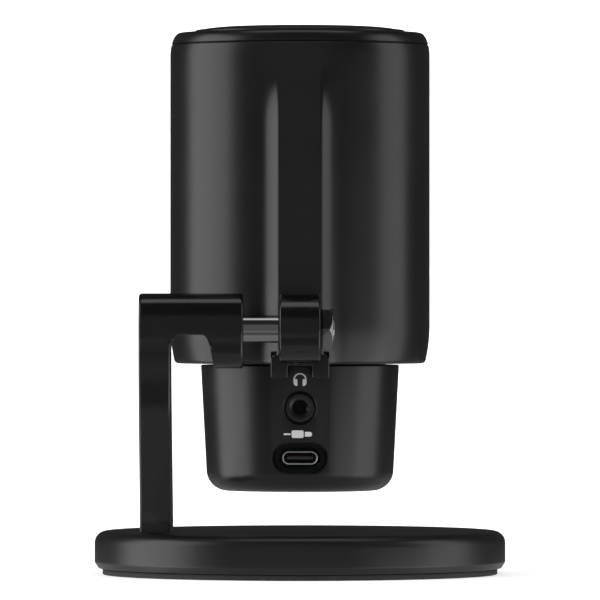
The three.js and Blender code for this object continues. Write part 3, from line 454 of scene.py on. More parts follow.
@dataclass(frozen=True)
class PaperFinish(Finish):
    """Seamless paper that glows as if lit from behind, with a painted shadow under the object: its glow is
    dimmed there.
    """

    # painted shadow: the share of the paper's glow left right under the object, and how far out the shadow
    # reaches
    painted_shadow_glow: float = 0.42
    painted_shadow_radius: float = 900.0  # mm

    def paint(self, graph: Graph, place: bpy.types.NodeSocket, surface: bpy.types.Node) -> None:
        """Paint the shadow under the object: the paper's own glow grows with the distance from the object."""
        super().paint(graph, place, surface)
        reach = graph.value(graph.add("ShaderNodeVectorMath", {"operation": "LENGTH"}, {0: place}), "Value")
        share = 1 - (1 - reach / (self.painted_shadow_radius * MM)).largest(0.0)
        light = share * (1 - self.painted_shadow_glow) + self.painted_shadow_glow
        graph.tree.links.new(light.socket, surface.inputs["Emission Color"])


HOUSING = Finish("satin_black_moulding", (0.003, 0.003, 0.0031), 0.3, grain=0.3, relief=0.006)
CAP = Finish("button_black_moulding", (0.0032, 0.0032, 0.0033), 0.32, grain=0.28, relief=0.006)
CAP_DISC = Finish("button_black_disc", (0.0055, 0.0055, 0.0057), 0.42, grain=0.22, relief=0.009)
LACQUER = Finish("black_lacquered_metal", (0.0022, 0.0022, 0.0023), 0.17, grain=0.3, relief=0.002, drift=0.03)
# The USB recess's floor: darker and duller than the housing, painted shade in the recess.
PORT_FLOOR_PAINTED_SHADE = Finish("port_black_moulding", (0.002, 0.002, 0.0021), 0.5, grain=0.2, relief=0.01, specular=0.12)
BASE = Finish("fine_black_powder_coat", (0.004, 0.004, 0.0042), 0.34, grain=0.4, relief=0.012)
GRILLE = Finish("black_grille_sheet", (0.085, 0.085, 0.087), 0.34, metallic=1.0, grain=0.5, relief=0.008)
COLLAR = Finish("jack_collar_moulding", (0.005, 0.005, 0.0052), 0.3, grain=0.3, relief=0.006)
INNER = Finish("inner_moulding", (0.018, 0.018, 0.019), 0.55, grain=0.6, relief=0.03)
CHIP = Finish("black_resin", (0.012, 0.012, 0.013), 0.45, grain=0.2, relief=0.01)
ROD = Finish(
    "black_nickel", (0.3, 0.3, 0.305), 0.08, metallic=1.0, grain=0.5, relief=0.001, drift=0.015, mottle=0.06
)
NUT = Finish(
    "blackened_steel", (0.2, 0.2, 0.204), 0.17, metallic=1.0, grain=0.5, relief=0.002, mottle=0.2, drift=0.05
)
STEEL = Finish("plated_steel", (0.56, 0.565, 0.58), 0.24, metallic=1.0, grain=0.4, relief=0.003, mottle=0.08)
TINNED = Finish("tinned_steel", (0.82, 0.82, 0.83), 0.42, metallic=1.0, grain=0.3, relief=0.002, mottle=0.06)
WEIGHT = Finish("cast_weight", (0.16, 0.16, 0.165), 0.6, metallic=0.9, grain=1.2, relief=0.06, mottle=0.3)
GOLD = Finish("gilt_contact", (0.72, 0.5, 0.2), 0.25, metallic=1.0, grain=0.2, relief=0.002)
RUBBER = Finish("black_rubber", (0.014, 0.014, 0.0145), 0.78, grain=0.5, relief=0.03, mottle=0.25)
NYLON = Finish("black_nylon", (0.008, 0.008, 0.0082), 0.42, grain=0.7, relief=0.01)
WIRE = Finish("wire_sleeve", (0.045, 0.045, 0.048), 0.5, grain=0.4, relief=0.02, stretch=(1, 1, 5))
INK = Finish("grey_print", (0.42, 0.42, 0.43), 0.5, grain=0.15, relief=0.01, mottle=0.12)
CAP_INK = Finish("dark_grey_print", (0.15, 0.15, 0.154), 0.5, grain=0.15, relief=0.01, mottle=0.12)
FOAM = FoamFinish("open_cell_foam", (0.008, 0.008, 0.008), 0.95, relief=0.5, mottle=0.6)
BOARD = BoardFinish("green_solder_mask", (0.01, 0.07, 0.035), 0.35, relief=0.03, mottle=0.5)

KEPT = {
    INNER: ["base_plate", "chassis", "capsule_clamp", "button_deck"],
    WEIGHT: ["base_weight"],
    NUT: [
        *(f"base_screw_{i}" for i in (1, 2, 3)),
        *(f"arm_screw_{i}" for i in (1, 2)),
        *(f"housing_screw_{i}" for i in (1, 2, 3)),
        *(f"bracket_screw_{i}" for i in (1, 2)),
        *(f"board_screw_{i}" for i in (1, 2)),
        *(f"clamp_screw_{i}" for i in (1, 2)),
        *(f"deck_screw_{i}" for i in (1, 2, 3)),
        "rod_set_screw",
    ],
    STEEL: ["capsule", *(f"button_spring_{i}" for i in (1, 2, 3))],
    RUBBER: ["capsule_mount"],
    BOARD: ["main_board", "button_board"],
    CHIP: ["audio_chip", "switch_body"],
    NYLON: ["lug_bush", "switch_plunger"],
    WIRE: ["capsule_lead", "button_ribbon"],
}


# ---------------------------------------------------------------- mesh work


def make_piece(name: str, points: Iterable[Vector], faces: Iterable[Sequence[int]]) -> bpy.types.Object:
    """Make an object of a mesh.

    Args:
        name: the piece's name.
        points: its corners, in millimetres.
        faces: its faces, as numbers of corners.

    Returns:
        The new object, at the origin.
    """
    mesh = bpy.data.meshes.new(name)
    mesh.from_pydata([tuple(point * MM) for point in points], [], [tuple(face) for face in faces])
    piece = bpy.data.objects.new(name, mesh)
    bpy.context.scene.collection.objects.link(piece)
    return piece


def tidy_mesh(mesh: bpy.types.Mesh, outwards: bool = True) -> None:
    """Merge doubles and, for a closed solid, point its faces outwards."""
    work = bmesh.new()
    work.from_mesh(mesh)
    bmesh.ops.remove_doubles(work, verts=work.verts, dist=0.002 * MM)
    if outwards:
        bmesh.ops.recalc_face_normals(work, faces=work.faces)
    work.to_mesh(mesh)
    work.free()


def settle(piece: bpy.types.Object) -> bpy.types.Object:
    """Turn a piece's live modifiers into plain mesh."""
    depsgraph = bpy.context.evaluated_depsgraph_get()
    made = bpy.data.meshes.new_from_object(piece.evaluated_get(depsgraph))
    piece.modifiers.clear()
    old, piece.data = piece.data, made
    bpy.data.meshes.remove(old)
    return piece


def set_out(piece: bpy.types.Object, tree: bpy.types.NodeTree, sizes: dict[str, Any]) -> None:
    """Fill a piece by a modifier's tree, whose inputs take the sizes of their names."""
    modifier = piece.modifiers.new("set_out", "NODES")
    modifier.node_group = tree
    for item in tree.interface.items_tree:
        if item.in_out == "INPUT":
            modifier[item.identifier] = sizes[item.name]
    settle(piece)


def discard(piece: bpy.types.Object) -> None:
    """Remove a helper piece and its mesh."""
    mesh = piece.data
    bpy.data.objects.remove(piece)
    bpy.data.meshes.remove(mesh)


def modified(piece: bpy.types.Object, kind: str, **settings: Any) -> bpy.types.Object:
    """Add a modifier with its settings and settle it at once."""
    modifier = piece.modifiers.new(kind.lower(), kind)
    for name, setting in settings.items():
        setattr(modifier, name, setting)
    return settle(piece)


def softened(piece: bpy.types.Object, width: float, segments: int = 3, above: float = 35) -> bpy.types.Object:
    """Round a piece's edges that are sharper than an angle in degrees. The width is in millimetres."""
    return modified(
        piece,
        "BEVEL",
        width=width * MM,
        segments=segments,
        limit_method="ANGLE",
        angle_limit=math.radians(above),
        use_clamp_overlap=True,
        miter_outer="MITER_ARC",
    )


def carved(piece: bpy.types.Object, how: Carving, *tools: bpy.types.Object) -> bpy.types.Object:
    """Join other solids to a piece, cut it with them, or keep what they share. The tools are used up."""
    for tool in tools:
        modified(piece, "BOOLEAN", object=tool, operation=how.value, solver="EXACT")
        old = tool.data
        bpy.data.objects.remove(tool)
        bpy.data.meshes.remove(old)
        tidy_mesh(piece.data)
    return piece


def rounded(corners: Sequence[tuple[float, ...]], steps: int = 6) -> list[Pair]:
    """Round an outline's corners with arcs.

    Args:
        corners: each corner's two coordinates and, where it is rounded, its radius.
        steps: the number of steps in each arc.

    Returns:
        The outline's points.
    """
    points: list[Pair] = []
    for i, (a, b, *radius) in enumerate(corners):
        if not radius:
            points.append((a, b))
            continue
        here = Vector((a, b))
        ahead = (Vector(corners[(i + 1) % len(corners)][:2]) - here).normalized()
        behind = (Vector(corners[i - 1][:2]) - here).normalized()
        half = ahead.angle(behind) / 2
        centre = here + (ahead + behind).normalized() * radius[0] / math.sin(half)
        start = here + behind * radius[0] / math.tan(half) - centre
        end = here + ahead * radius[0] / math.tan(half) - centre
        sweep = math.pi - 2 * half
        for k in range(steps + 1):
            share = k / steps
            arm = (start * math.sin((1 - share) * sweep) + end * math.sin(share * sweep)) / math.sin(sweep)
            points.append(tuple(centre + arm))
    return points


def bridged(rings: Sequence[Sequence[int]], loop: bool) -> list[tuple[int, ...]]:
    """Faces between rings of corners, each ring closed on itself.

    Args:
        rings: the rings' corner numbers. A pole repeats one number.
        loop: whether the last ring joins the first.

    Returns:
        The faces.
    """
    faces = []
    following = [*rings[1:], rings[0]] if loop else rings[1:]
    for near, far in zip(rings, following):
        for i in range(len(near)):
            j = (i + 1) % len(near)
            corners = tuple(dict.fromkeys((near[i], near[j], far[j], far[i])))
            if len(corners) > 2:
                faces.append(corners)
    return faces


def turned(
    name: str, profile: Sequence[Pair], sides: int = SMALL, place: Matrix = Facing.UP.at()
) -> bpy.types.Object:
    """Turn a profile about its own axis.

    Args:
        name: the piece's name.
        profile: (radius, height) pairs that begin and end on the axis, or close on themselves.
        sides: how many sides the turned piece has.
        place: where its origin and its axis go.

    Returns:
        The piece.
    """
    points: list[Vector] = []
    rings = []
    for radius, height in profile:
        if radius < TINY:
            rings.append([len(points)] * sides)
            points.append(place @ Vector((0, 0, height)))
            continue
        rings.append(list(range(len(points), len(points) + sides)))
        for i in range(sides):
            angle = 2 * math.pi * i / sides
            points.append(place @ Vector((radius * math.cos(angle), radius * math.sin(angle), height)))
    piece = make_piece(name, points, bridged(rings, loop=profile[0][0] >= TINY))
    tidy_mesh(piece.data)
    return piece


def drill(radius: float, low: float, high: float, place: Matrix) -> bpy.types.Object:
    """A round cutter, between two depths along its axis."""
    return turned("bore", [(0.0, low), (radius, low), (radius, high), (0.0, high)], SMALL, place)


def lofted(name: str, rings: Sequence[Sequence[Vector]]) -> bpy.types.Object:
    """A closed solid through rings of equally many points, capped at both ends."""
    count = len(rings[0])
    numbers = [list(range(i * count, (i + 1) * count)) for i in range(len(rings))]
    faces = [*bridged(numbers, loop=False), tuple(numbers[0]), tuple(numbers[-1])]
    piece = make_piece(name, [point for ring in rings for point in ring], faces)
    tidy_mesh(piece.data)
    return piece


def drawn_in(outline: Sequence[Pair], depth: float) -> list[Pair]:
    """Draw a closed outline in by a depth, as for the rounding of a rim."""
    count = len(outline)
    corners = [Vector(corner) for corner in outline]
    area = sum(corners[i - 1].cross(corners[i]) for i in range(count))
    side = depth if area > 0 else -depth
    moved = []
    for i, here in enumerate(corners):
        before = (here - corners[i - 1]).normalized()
        after = (corners[(i + 1) % count] - here).normalized()
        inward = Vector((-before.y - after.y, before.x + after.x)).normalized()
        moved.append(tuple(here + inward * side / max(0.5, inward.dot(Vector((-after.y, after.x))))))
    return moved


def rim_arc(edge: float, steps: int = 5) -> list[Pair]:
    """The (height, inset) pairs of a rounded rim, from its face to its side."""
    arc = [math.pi / 2 * k / steps for k in range(steps + 1)]
    return [(edge * (1 - math.cos(t)), edge * (1 - math.sin(t))) for t in arc]


def prism(
    name: str, outline: Sequence[Pair], low: float, high: float, place: Matrix, edge: float = 0.0
) -> bpy.types.Object:
    """Give a drawn outline thickness.

    Args:
        name: the piece's name.
        outline: the drawing.
        low: where it starts, over its drawing.
        high: where it ends.
        place: how the drawing lies.
        edge: the rounding of both its rims.

    Returns:
        The piece.
    """
    arc = rim_arc(edge) if edge else [(0.0, 0.0)]
    levels = [(low + height, inset) for height, inset in arc]
    levels += [(high - height, inset) for height, inset in reversed(arc)]
    rings = []
    for height, inset in levels:
        drawn = drawn_in(outline, inset) if inset else outline
        rings.append([place @ Vector((a, b, height)) for a, b in drawn])
    return lofted(name, rings)


def block(name: str, low: Sequence[float], high: Sequence[float]) -> bpy.types.Object:
    """A box between two corners."""
    outline = [(low[0], low[1]), (high[0], low[1]), (high[0], high[1]), (low[0], high[1])]
    return prism(name, outline, low[2], high[2], Facing.UP.at())


def stadium(width: float, height: float, steps: int = 20) -> list[Pair]:
    """An outline with two round ends, wider than it is high, or a circle."""
    radius, half = height / 2, (width - height) / 2
    points = []
    for side, start in ((1, -90), (-1, 90)):
        for k in range(steps + 1):
            angle = math.radians(start + 180 * k / steps)
            points.append((side * half + radius * math.cos(angle), radius * math.sin(angle)))
    return points


def mouth_slope(lip: float, steps: int = 4) -> list[Pair]:
    """The (depth, inset) pairs of a hole's mouth: it leaves the surface softly, then slopes in."""
    soft = lip * 0.3
    steepest = math.radians(53)
    points = []
    for k in range(steps + 1):
        turn = steepest * (0.3 + 0.7 * k / steps)
        points.append((soft * (1 - math.cos(turn)), soft * math.sin(turn)))
    start = points[0]
    bend = [(a - start[0], b - start[1]) for a, b in points]
    left = lip - bend[-1][1]
    return [*bend, (bend[-1][0] + left * math.tan(steepest), lip)]


def in_stadium(a: float, b: float, width: float, height: float) -> bool:
    """Whether a point lies in an outline with two round ends."""
    return math.hypot(max(0.0, abs(a) - (width - height) / 2), b) < height / 2


def wear(
    piece: bpy.types.Object, finish: Finish, body: Body, slot: str, *stands_for: str, crease: float = CREASE
) -> bpy.types.Object:
    """Finish a piece: smooth it, dress it, and put it on its body.

    Args:
        piece: the piece, in place.
        finish: what it is made of.
        body: what it moves with.
        slot: not used.
        stands_for: the frame's pieces that it replaces.
        crease: edges sharper than this stay crisp.

    Returns:
        The piece.
    """
    piece.data.materials.clear()
    piece.data.materials.append(finish.material())
    piece.data.shade_smooth()
    piece.data.set_sharp_from_angle(angle=crease)
    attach(piece, body.value)
    if stands_for:
        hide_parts(*stands_for)
    log.info("%s: %d faces, on %s", piece.name, len(piece.data.polygons), body.value)
    return piece


# ---------------------------------------------------------------- the round body


@dataclass(frozen=True)
class BodyForm:
    """The drum-shaped upper body: the outer shape that the housing, the grille and the rim share."""

    axis: Vector
    seam: float
    top: float
    radius: float
    foot_tuck: float = 1.2
    tuck_height: float = 10.0
    shoulder_width: float = 2.5
    shoulder_height: float = 6.0

    @classmethod
    def from_frame(cls) -> "BodyForm":
        """Read the body's place and size from the frame."""
        housing, rim = Span.of("upper_housing"), Span.of("top_rim")
        radius = housing.size.x / 2
        axis = Vector((housing.middle.x, housing.low.y + radius))
        return cls(axis, housing.low.z, rim.high.z, radius)

    @property
    def height(self) -> float:
        """From the seam to the top of the rim."""
        return self.top - self.seam

    def radius_at(self, height: float) -> float:
        """The outer radius at a height above the seam."""
        tuck = max(0.0, 1 - height / self.tuck_height)
        rise = min(1.0, max(0.0, (height - self.height + self.shoulder_height) / self.shoulder_height))
        return self.radius - self.foot_tuck * tuck**2 - self.shoulder_width * (1 - math.sqrt(1 - rise**2))

    def point(self, angle: float, height: float, depth: float = 0.0) -> Vector:
        """A point under the surface. The angle is in degrees, from straight back towards +X."""
        radius = self.radius_at(height) - depth
        turn = math.radians(angle)
        return Vector(
            (self.axis.x + radius * math.sin(turn), self.axis.y + radius * math.cos(turn), self.seam + height)
        )


@dataclass
class UpperHousing:
    """The upper housing: a drum with a spine down its back and a window for the grille in front."""

    form: BodyForm
    wall: float = 2.4
    floor_opening: float = 18.0
    edge: float = 0.9  # rounding of the lower edge
    spine_width: float = 10.8
    spine_fillet: float = 5.0
    spine_hollow: float = 2.5  # how hollow the fillets are
    spine_fade: Pair = (60.0, 77.0)  # where the spine runs out, over the seam
    window_angle: float = 95.0  # from straight back
    window_from: float = 8.0
    rows: list[Pair] = field(default_factory=list)

    def build(self) -> None:
        """Make the housing."""
        self.spine_face = Span.of("upper_housing").high.y - self.form.axis.y
        self.columns = self.lay_columns()
        self.rows = self.lay_rows()
        count = len(self.columns)
        points = [point for height, inset in self.rows for point in self.ring(height, inset)]
        faces = []
        for r in range(len(self.rows) - 1):
            for c in range(count):
                if not self.in_window(r, c):
                    near, far = r * count, (r + 1) * count
                    d = (c + 1) % count
                    faces.append((near + c, near + d, far + d, far + c))
        piece = make_piece("upper_housing_shell", points, faces)
        tidy_mesh(piece.data)
        modified(piece, "SOLIDIFY", thickness=self.wall * MM, offset=-1, use_even_offset=True)
        softened(piece, 0.3, segments=2, above=60)
        wear(piece, HOUSING, Body.MICROPHONE, "housing_black", "upper_housing")

    def lay_columns(self) -> list[tuple[float | None, float]]:
        """The section's points: a place across the spine, or an angle beyond it.

        Returns:
            (x or None, angle in degrees from straight back), all the way round.
        """
        reach = self.spine_width / 2 + self.spine_fillet
        half = self.spine_width / 2
        across = [0.0, half * 0.45, half - 1.0, half - 0.6, half - 0.3, half, half + 0.3, half + 0.6]
        across += [half + self.spine_fillet * share for share in (0.2, 0.3, 0.42, 0.56, 0.7, 0.85, 1.0)]
        spine = [(-x, 0.0) for x in reversed(across[1:])] + [(x, 0.0) for x in across]
        start = math.degrees(math.asin(reach / self.form.radius)) + 1.6
        steps = 48
        side = [start + (self.window_angle - start) * k / steps for k in range(steps + 1)]
        front = [self.window_angle + (360 - 2 * self.window_angle) * k / 112 for k in range(1, 112)]
        other = [360 - angle for angle in reversed(side)]
        return spine + [(None, angle) for angle in (*side, *front, *other)]

    def lay_rows(self) -> list[Pair]:
        """The (height over the seam, inset) of each ring, from the floor's opening to the rim."""
        top = self.rim_line() - self.form.seam
        arc = [math.radians(90 * k / 5) for k in range(6)]
        foot = [(self.edge * (1 - math.cos(t)), self.edge * (1 - math.sin(t))) for t in arc]
        tuck = [(height, 0.0) for height in (1.6, 2.6, 3.8, 5.2, 6.6, self.window_from, 9.5, 12.0)]
        fade_from, fade_to = self.spine_fade
        plain = [(12.0 + (fade_from - 12.0) * k / 10, 0.0) for k in range(1, 11)]
        fade = [(fade_from + (fade_to - fade_from) * k / 18, 0.0) for k in range(1, 19)]
        shoulder = [(fade_to + (top - 0.3 - fade_to) * k / 5, 0.0) for k in range(1, 6)]
        opening = self.form.radius_at(0) - self.floor_opening
        return [(0.0, opening), (0.0, opening * 0.5), *foot, *tuck, *plain, *fade, *shoulder, (top, 0.25)]

    @staticmethod
    def rim_line() -> float:
        """The height of the joint between the housing and the rim."""
        return Span.of("upper_housing").high.z

    def share(self, x: float) -> float:
        """How much of the spine's rise there is across it: 1 on its face, 0 past its fillets."""
        u = (abs(x) - self.spine_width / 2) / self.spine_fillet
        return (1 - min(1.0, max(0.0, u))) ** self.spine_hollow

    def ring(self, height: float, inset: float) -> list[Vector]:
        """The section at a height, drawn in towards the axis by an inset."""
        form = self.form
        radius = form.radius_at(height)
        start, end = self.spine_fade
        t = min(1.0, max(0.0, (height - start) / (end - start)))
        left = 1 - t * t * (3 - 2 * t)
        points = []
        for x, angle in self.columns:
            if x is None:
                turn = math.radians(angle)
                flat = Vector((math.sin(turn), math.cos(turn))) * radius
            else:
                behind = math.sqrt(radius**2 - x**2)
                share = sum(self.share(x + step * 0.12) for step in range(-4, 5)) / 9
                flat = Vector((x, behind + share * left * (self.spine_face - behind)))
            flat *= 1 - inset / flat.length
            points.append(Vector((form.axis.x + flat.x, form.axis.y + flat.y, form.seam + height)))
        return points

    def in_window(self, row: int, column: int) -> bool:
        """Whether a face lies in the grille's window."""
        x, angle = self.columns[column]
        inside = x is None and self.window_angle - 0.01 < angle < 360 - self.window_angle - 0.01
        return inside and self.rows[row][0] >= self.window_from - 0.01 and self.rows[row][1] < 0.2


@dataclass
class Grille:
    """The front grille: a perforated sheet round the body, its folded edge, and the foam behind it."""

    form: BodyForm
    half_angle: float = 84.4
    sheet: float = 0.8
    edge_width: float = 2.4
    edge_proud: float = 0.25
    pitch: float = 2.6
    hole: float = 1.75
    foam_thickness: float = 4.0
    foam_half_angle: float = 80.0

    def build(self) -> None:
        """Make the sheet, its edge and the foam."""
        span = Span.of("grille")
        self.low, self.high = span.low.z - self.form.seam, span.high.z - self.form.seam
        self.perforated_sheet()
        self.folded_edge()
        self.foam()

    def perforated_sheet(self) -> None:
        """The sheet: rows of one pierced tile, staggered by half a tile, then wrapped round the body."""
        tile = self.tile()
        sheet = make_piece("grille_sheet", [Vector()], [])
        row = self.pitch * math.sqrt(3) / 2
        arc = 2 * math.radians(self.half_angle) * self.form.radius - self.edge_width
        sizes = {
            "Pitch": self.pitch * MM,
            "Row": row * MM,
            "Columns": round(arc / self.pitch),
            "Rows": round((self.high - self.low - self.edge_width) / row),
            "Middle": (self.form.seam + (self.low + self.high) / 2) * MM,
            "Radius": (self.form.radius - self.edge_proud) * MM,
        }
        set_out(sheet, self.perforating_tree(tile), sizes)
        discard(tile)
        tidy_mesh(sheet.data, outwards=False)
        modified(sheet, "SOLIDIFY", thickness=self.sheet * MM, offset=-1)
        wear(sheet, GRILLE, Body.MICROPHONE, "grille_black", "grille", crease=math.radians(50))

    def tile(self) -> bpy.types.Object:
        """One tile of the sheet, facing +Z, with a round hole and a corner at each long side's middle."""
        width, height = self.pitch / 2, self.pitch * math.sqrt(3) / 4
        frame = [(width, 0.0), (width, height), (0.0, height), (-width, height)]
        frame += [(-a, -b) for a, b in frame]
        count = 16
        angles = [2 * math.pi * k / count for k in range(count)]
        rim = [(self.hole / 2 * math.cos(t), self.hole / 2 * math.sin(t)) for t in angles]
        points = [Vector((a, b, 0)) for a, b in (*frame, *rim)]
        faces = []
        for i in range(8):
            j = (i + 1) % 8
            a, b, c = (8 + (2 * i + step) % count for step in range(3))
            faces += [(i, j, b), (i, b, a), (j, c, b)]
        return make_piece("grille_tile", points, faces)

    def perforating_tree(self, tile: bpy.types.Object) -> bpy.types.NodeTree:
        """The modifier's tree: a staggered grid of tiles, bent round the body and up over its shoulder.

        Args:
            tile: the pierced tile.

        Returns:
            The tree, with an input for each size.
        """
        kinds = dict.fromkeys(("Pitch", "Row", "Middle", "Radius"), "Float")
        graph = Graph.of_modifier("perforated_sheet", {**kinds, "Columns": "Int", "Rows": "Int"})
        given = graph.add("NodeGroupInput")
        pitch, row, middle, radius = (graph.value(given, n) for n in ("Pitch", "Row", "Middle", "Radius"))
        columns, rows = graph.value(given, "Columns"), graph.value(given, "Rows")
        grid = graph.add("GeometryNodeMeshLine", inputs={"Count": columns * rows, "Offset": (0, 0, 0)})
        number = graph.value(graph.add("GeometryNodeInputIndex"))
        level = (number / columns).wave("FLOOR")
        along = number - level * columns
        odd = level - (level / 2).wave("FLOOR") * 2
        across = (along - columns / 2 + 0.25 + odd * 0.5) * pitch
        up = (level - rows / 2 + 0.5) * row
        spot = graph.add("ShaderNodeCombineXYZ", inputs={0: across, 1: up})
        spread = graph.add(
            "GeometryNodeSetPosition", inputs={"Geometry": grid.outputs[0], "Position": spot.outputs[0]}
        )
        real = graph.copies(spread.outputs[0], tile)
        merged = graph.add("GeometryNodeMergeByDistance", inputs={"Geometry": real, "Distance": 0.01 * MM})
        wrapped = graph.add(
            "GeometryNodeSetPosition",
            inputs={"Geometry": merged.outputs[0], "Position": self.wrap(graph, middle, radius)},
        )
        return graph.end(wrapped.outputs[0], GRILLE.material())

    def wrap(self, graph: Graph, middle: Value, radius: Value) -> bpy.types.NodeSocket:
        """Where a flat point goes: round the body by its x, up it by its y.

        Args:
            graph: the modifier's graph.
            middle: the height of the sheet's middle.
            radius: the radius that the sheet is bent to.

        Returns:
            The new position.
        """
        form = self.form
        position = graph.add("GeometryNodeInputPosition").outputs[0]
        flat = graph.add("ShaderNodeSeparateXYZ", inputs={0: position})
        x, y = graph.value(flat, 0), graph.value(flat, 1)
        height = y + middle
        start = (form.top - form.shoulder_height) * MM
        rise = ((height - start) / (form.shoulder_height * MM)).largest(0.0)
        drop = (1 - (1 - rise * rise).largest(0.0).wave("SQRT")) * (form.shoulder_width * MM)
        tuck = (1 - (height - form.seam * MM) / (form.tuck_height * MM)).largest(0.0)
        here = radius - drop - tuck * tuck * (form.foot_tuck * MM)
        angle = x / radius
        place = {
            0: here * angle.wave("SINE") + form.axis.x * MM,
            1: form.axis.y * MM - here * angle.wave("COSINE"),
            2: height,
        }
        return graph.add("ShaderNodeCombineXYZ", inputs=place).outputs[0]

    def curved(
        self, name: str, angles: Sequence[float], heights: Sequence[float], depth: float, keep: Callable
    ) -> bpy.types.Object:
        """A curved sheet on the body's front.

        Args:
            name: the piece's name.
            angles: its columns, in degrees from straight ahead.
            heights: its rows, over the seam.
            depth: how far under the body's surface it lies.
            keep: says of a row and a column whether their face is kept.

        Returns:
            The sheet, with no thickness.
        """
        points = [self.form.point(180 - angle, height, depth) for height in heights for angle in angles]
        count = len(angles)
        faces = [
            (r * count + c, r * count + c + 1, (r + 1) * count + c + 1, (r + 1) * count + c)
            for r in range(len(heights) - 1)
            for c in range(count - 1)
            if keep(r, c)
        ]
        piece = make_piece(name, points, faces)
        tidy_mesh(piece.data, outwards=False)
        return piece

    def folded_edge(self) -> None:
        """The sheet's folded edge, which hides the ends of the rows."""
        inner = self.half_angle - math.degrees(self.edge_width / self.form.radius)
        count = 120
        angles = [-self.half_angle, *(inner * (2 * k / count - 1) for k in range(count + 1)), self.half_angle]
        low, high = self.low + self.edge_width, self.high - self.edge_width
        rows = 20
        middle = [low + (high - low) * k / rows for k in range(rows + 1)]
        heights = [self.low, *middle, self.high - 1.2, self.high]
        frame, sides = (0, rows + 1, rows + 2), (0, count + 1)
        edge = self.curved("grille_edge", angles, heights, 0.0, lambda r, c: r in frame or c in sides)
        modified(edge, "SOLIDIFY", thickness=(self.sheet + self.edge_proud) * MM, offset=-1)
        softened(edge, 0.22, segments=2, above=50)
        wear(edge, GRILLE, Body.MICROPHONE, "grille_black")

    def foam(self) -> None:
        """The windscreen foam, whose open face shows through the holes."""
        span = Span.of("windscreen_foam")
        deck = Span.of("button_deck").low.z - self.form.seam
        low, high = span.low.z - self.form.seam, deck + 0.2
        half = self.foam_half_angle - 0.5
        angles = [half * (2 * k / 110 - 1) for k in range(111)]
        heights = [low + 0.3 + (high - low - 0.6) * k / 70 for k in range(71)]
        depth = self.form.radius + span.low.y - self.form.axis.y
        foam = self.curved("windscreen_foam_sheet", angles, heights, depth + 0.3, lambda r, c: True)
        modified(foam, "SOLIDIFY", thickness=(self.foam_thickness - 0.6) * MM, offset=-1)
        for vertex in foam.data.vertices:
            outward = Vector((vertex.co.x - self.form.axis.x * MM, vertex.co.y - self.form.axis.y * MM, 0))
            ripple = noise.noise(vertex.co / (3.5 * MM)) * 0.28 * MM
            vertex.co += outward.normalized() * ripple
        wear(foam, FOAM, Body.MICROPHONE, "foam_black", "windscreen_foam", crease=math.radians(70))


# ---------------------------------------------------------------- button and rim


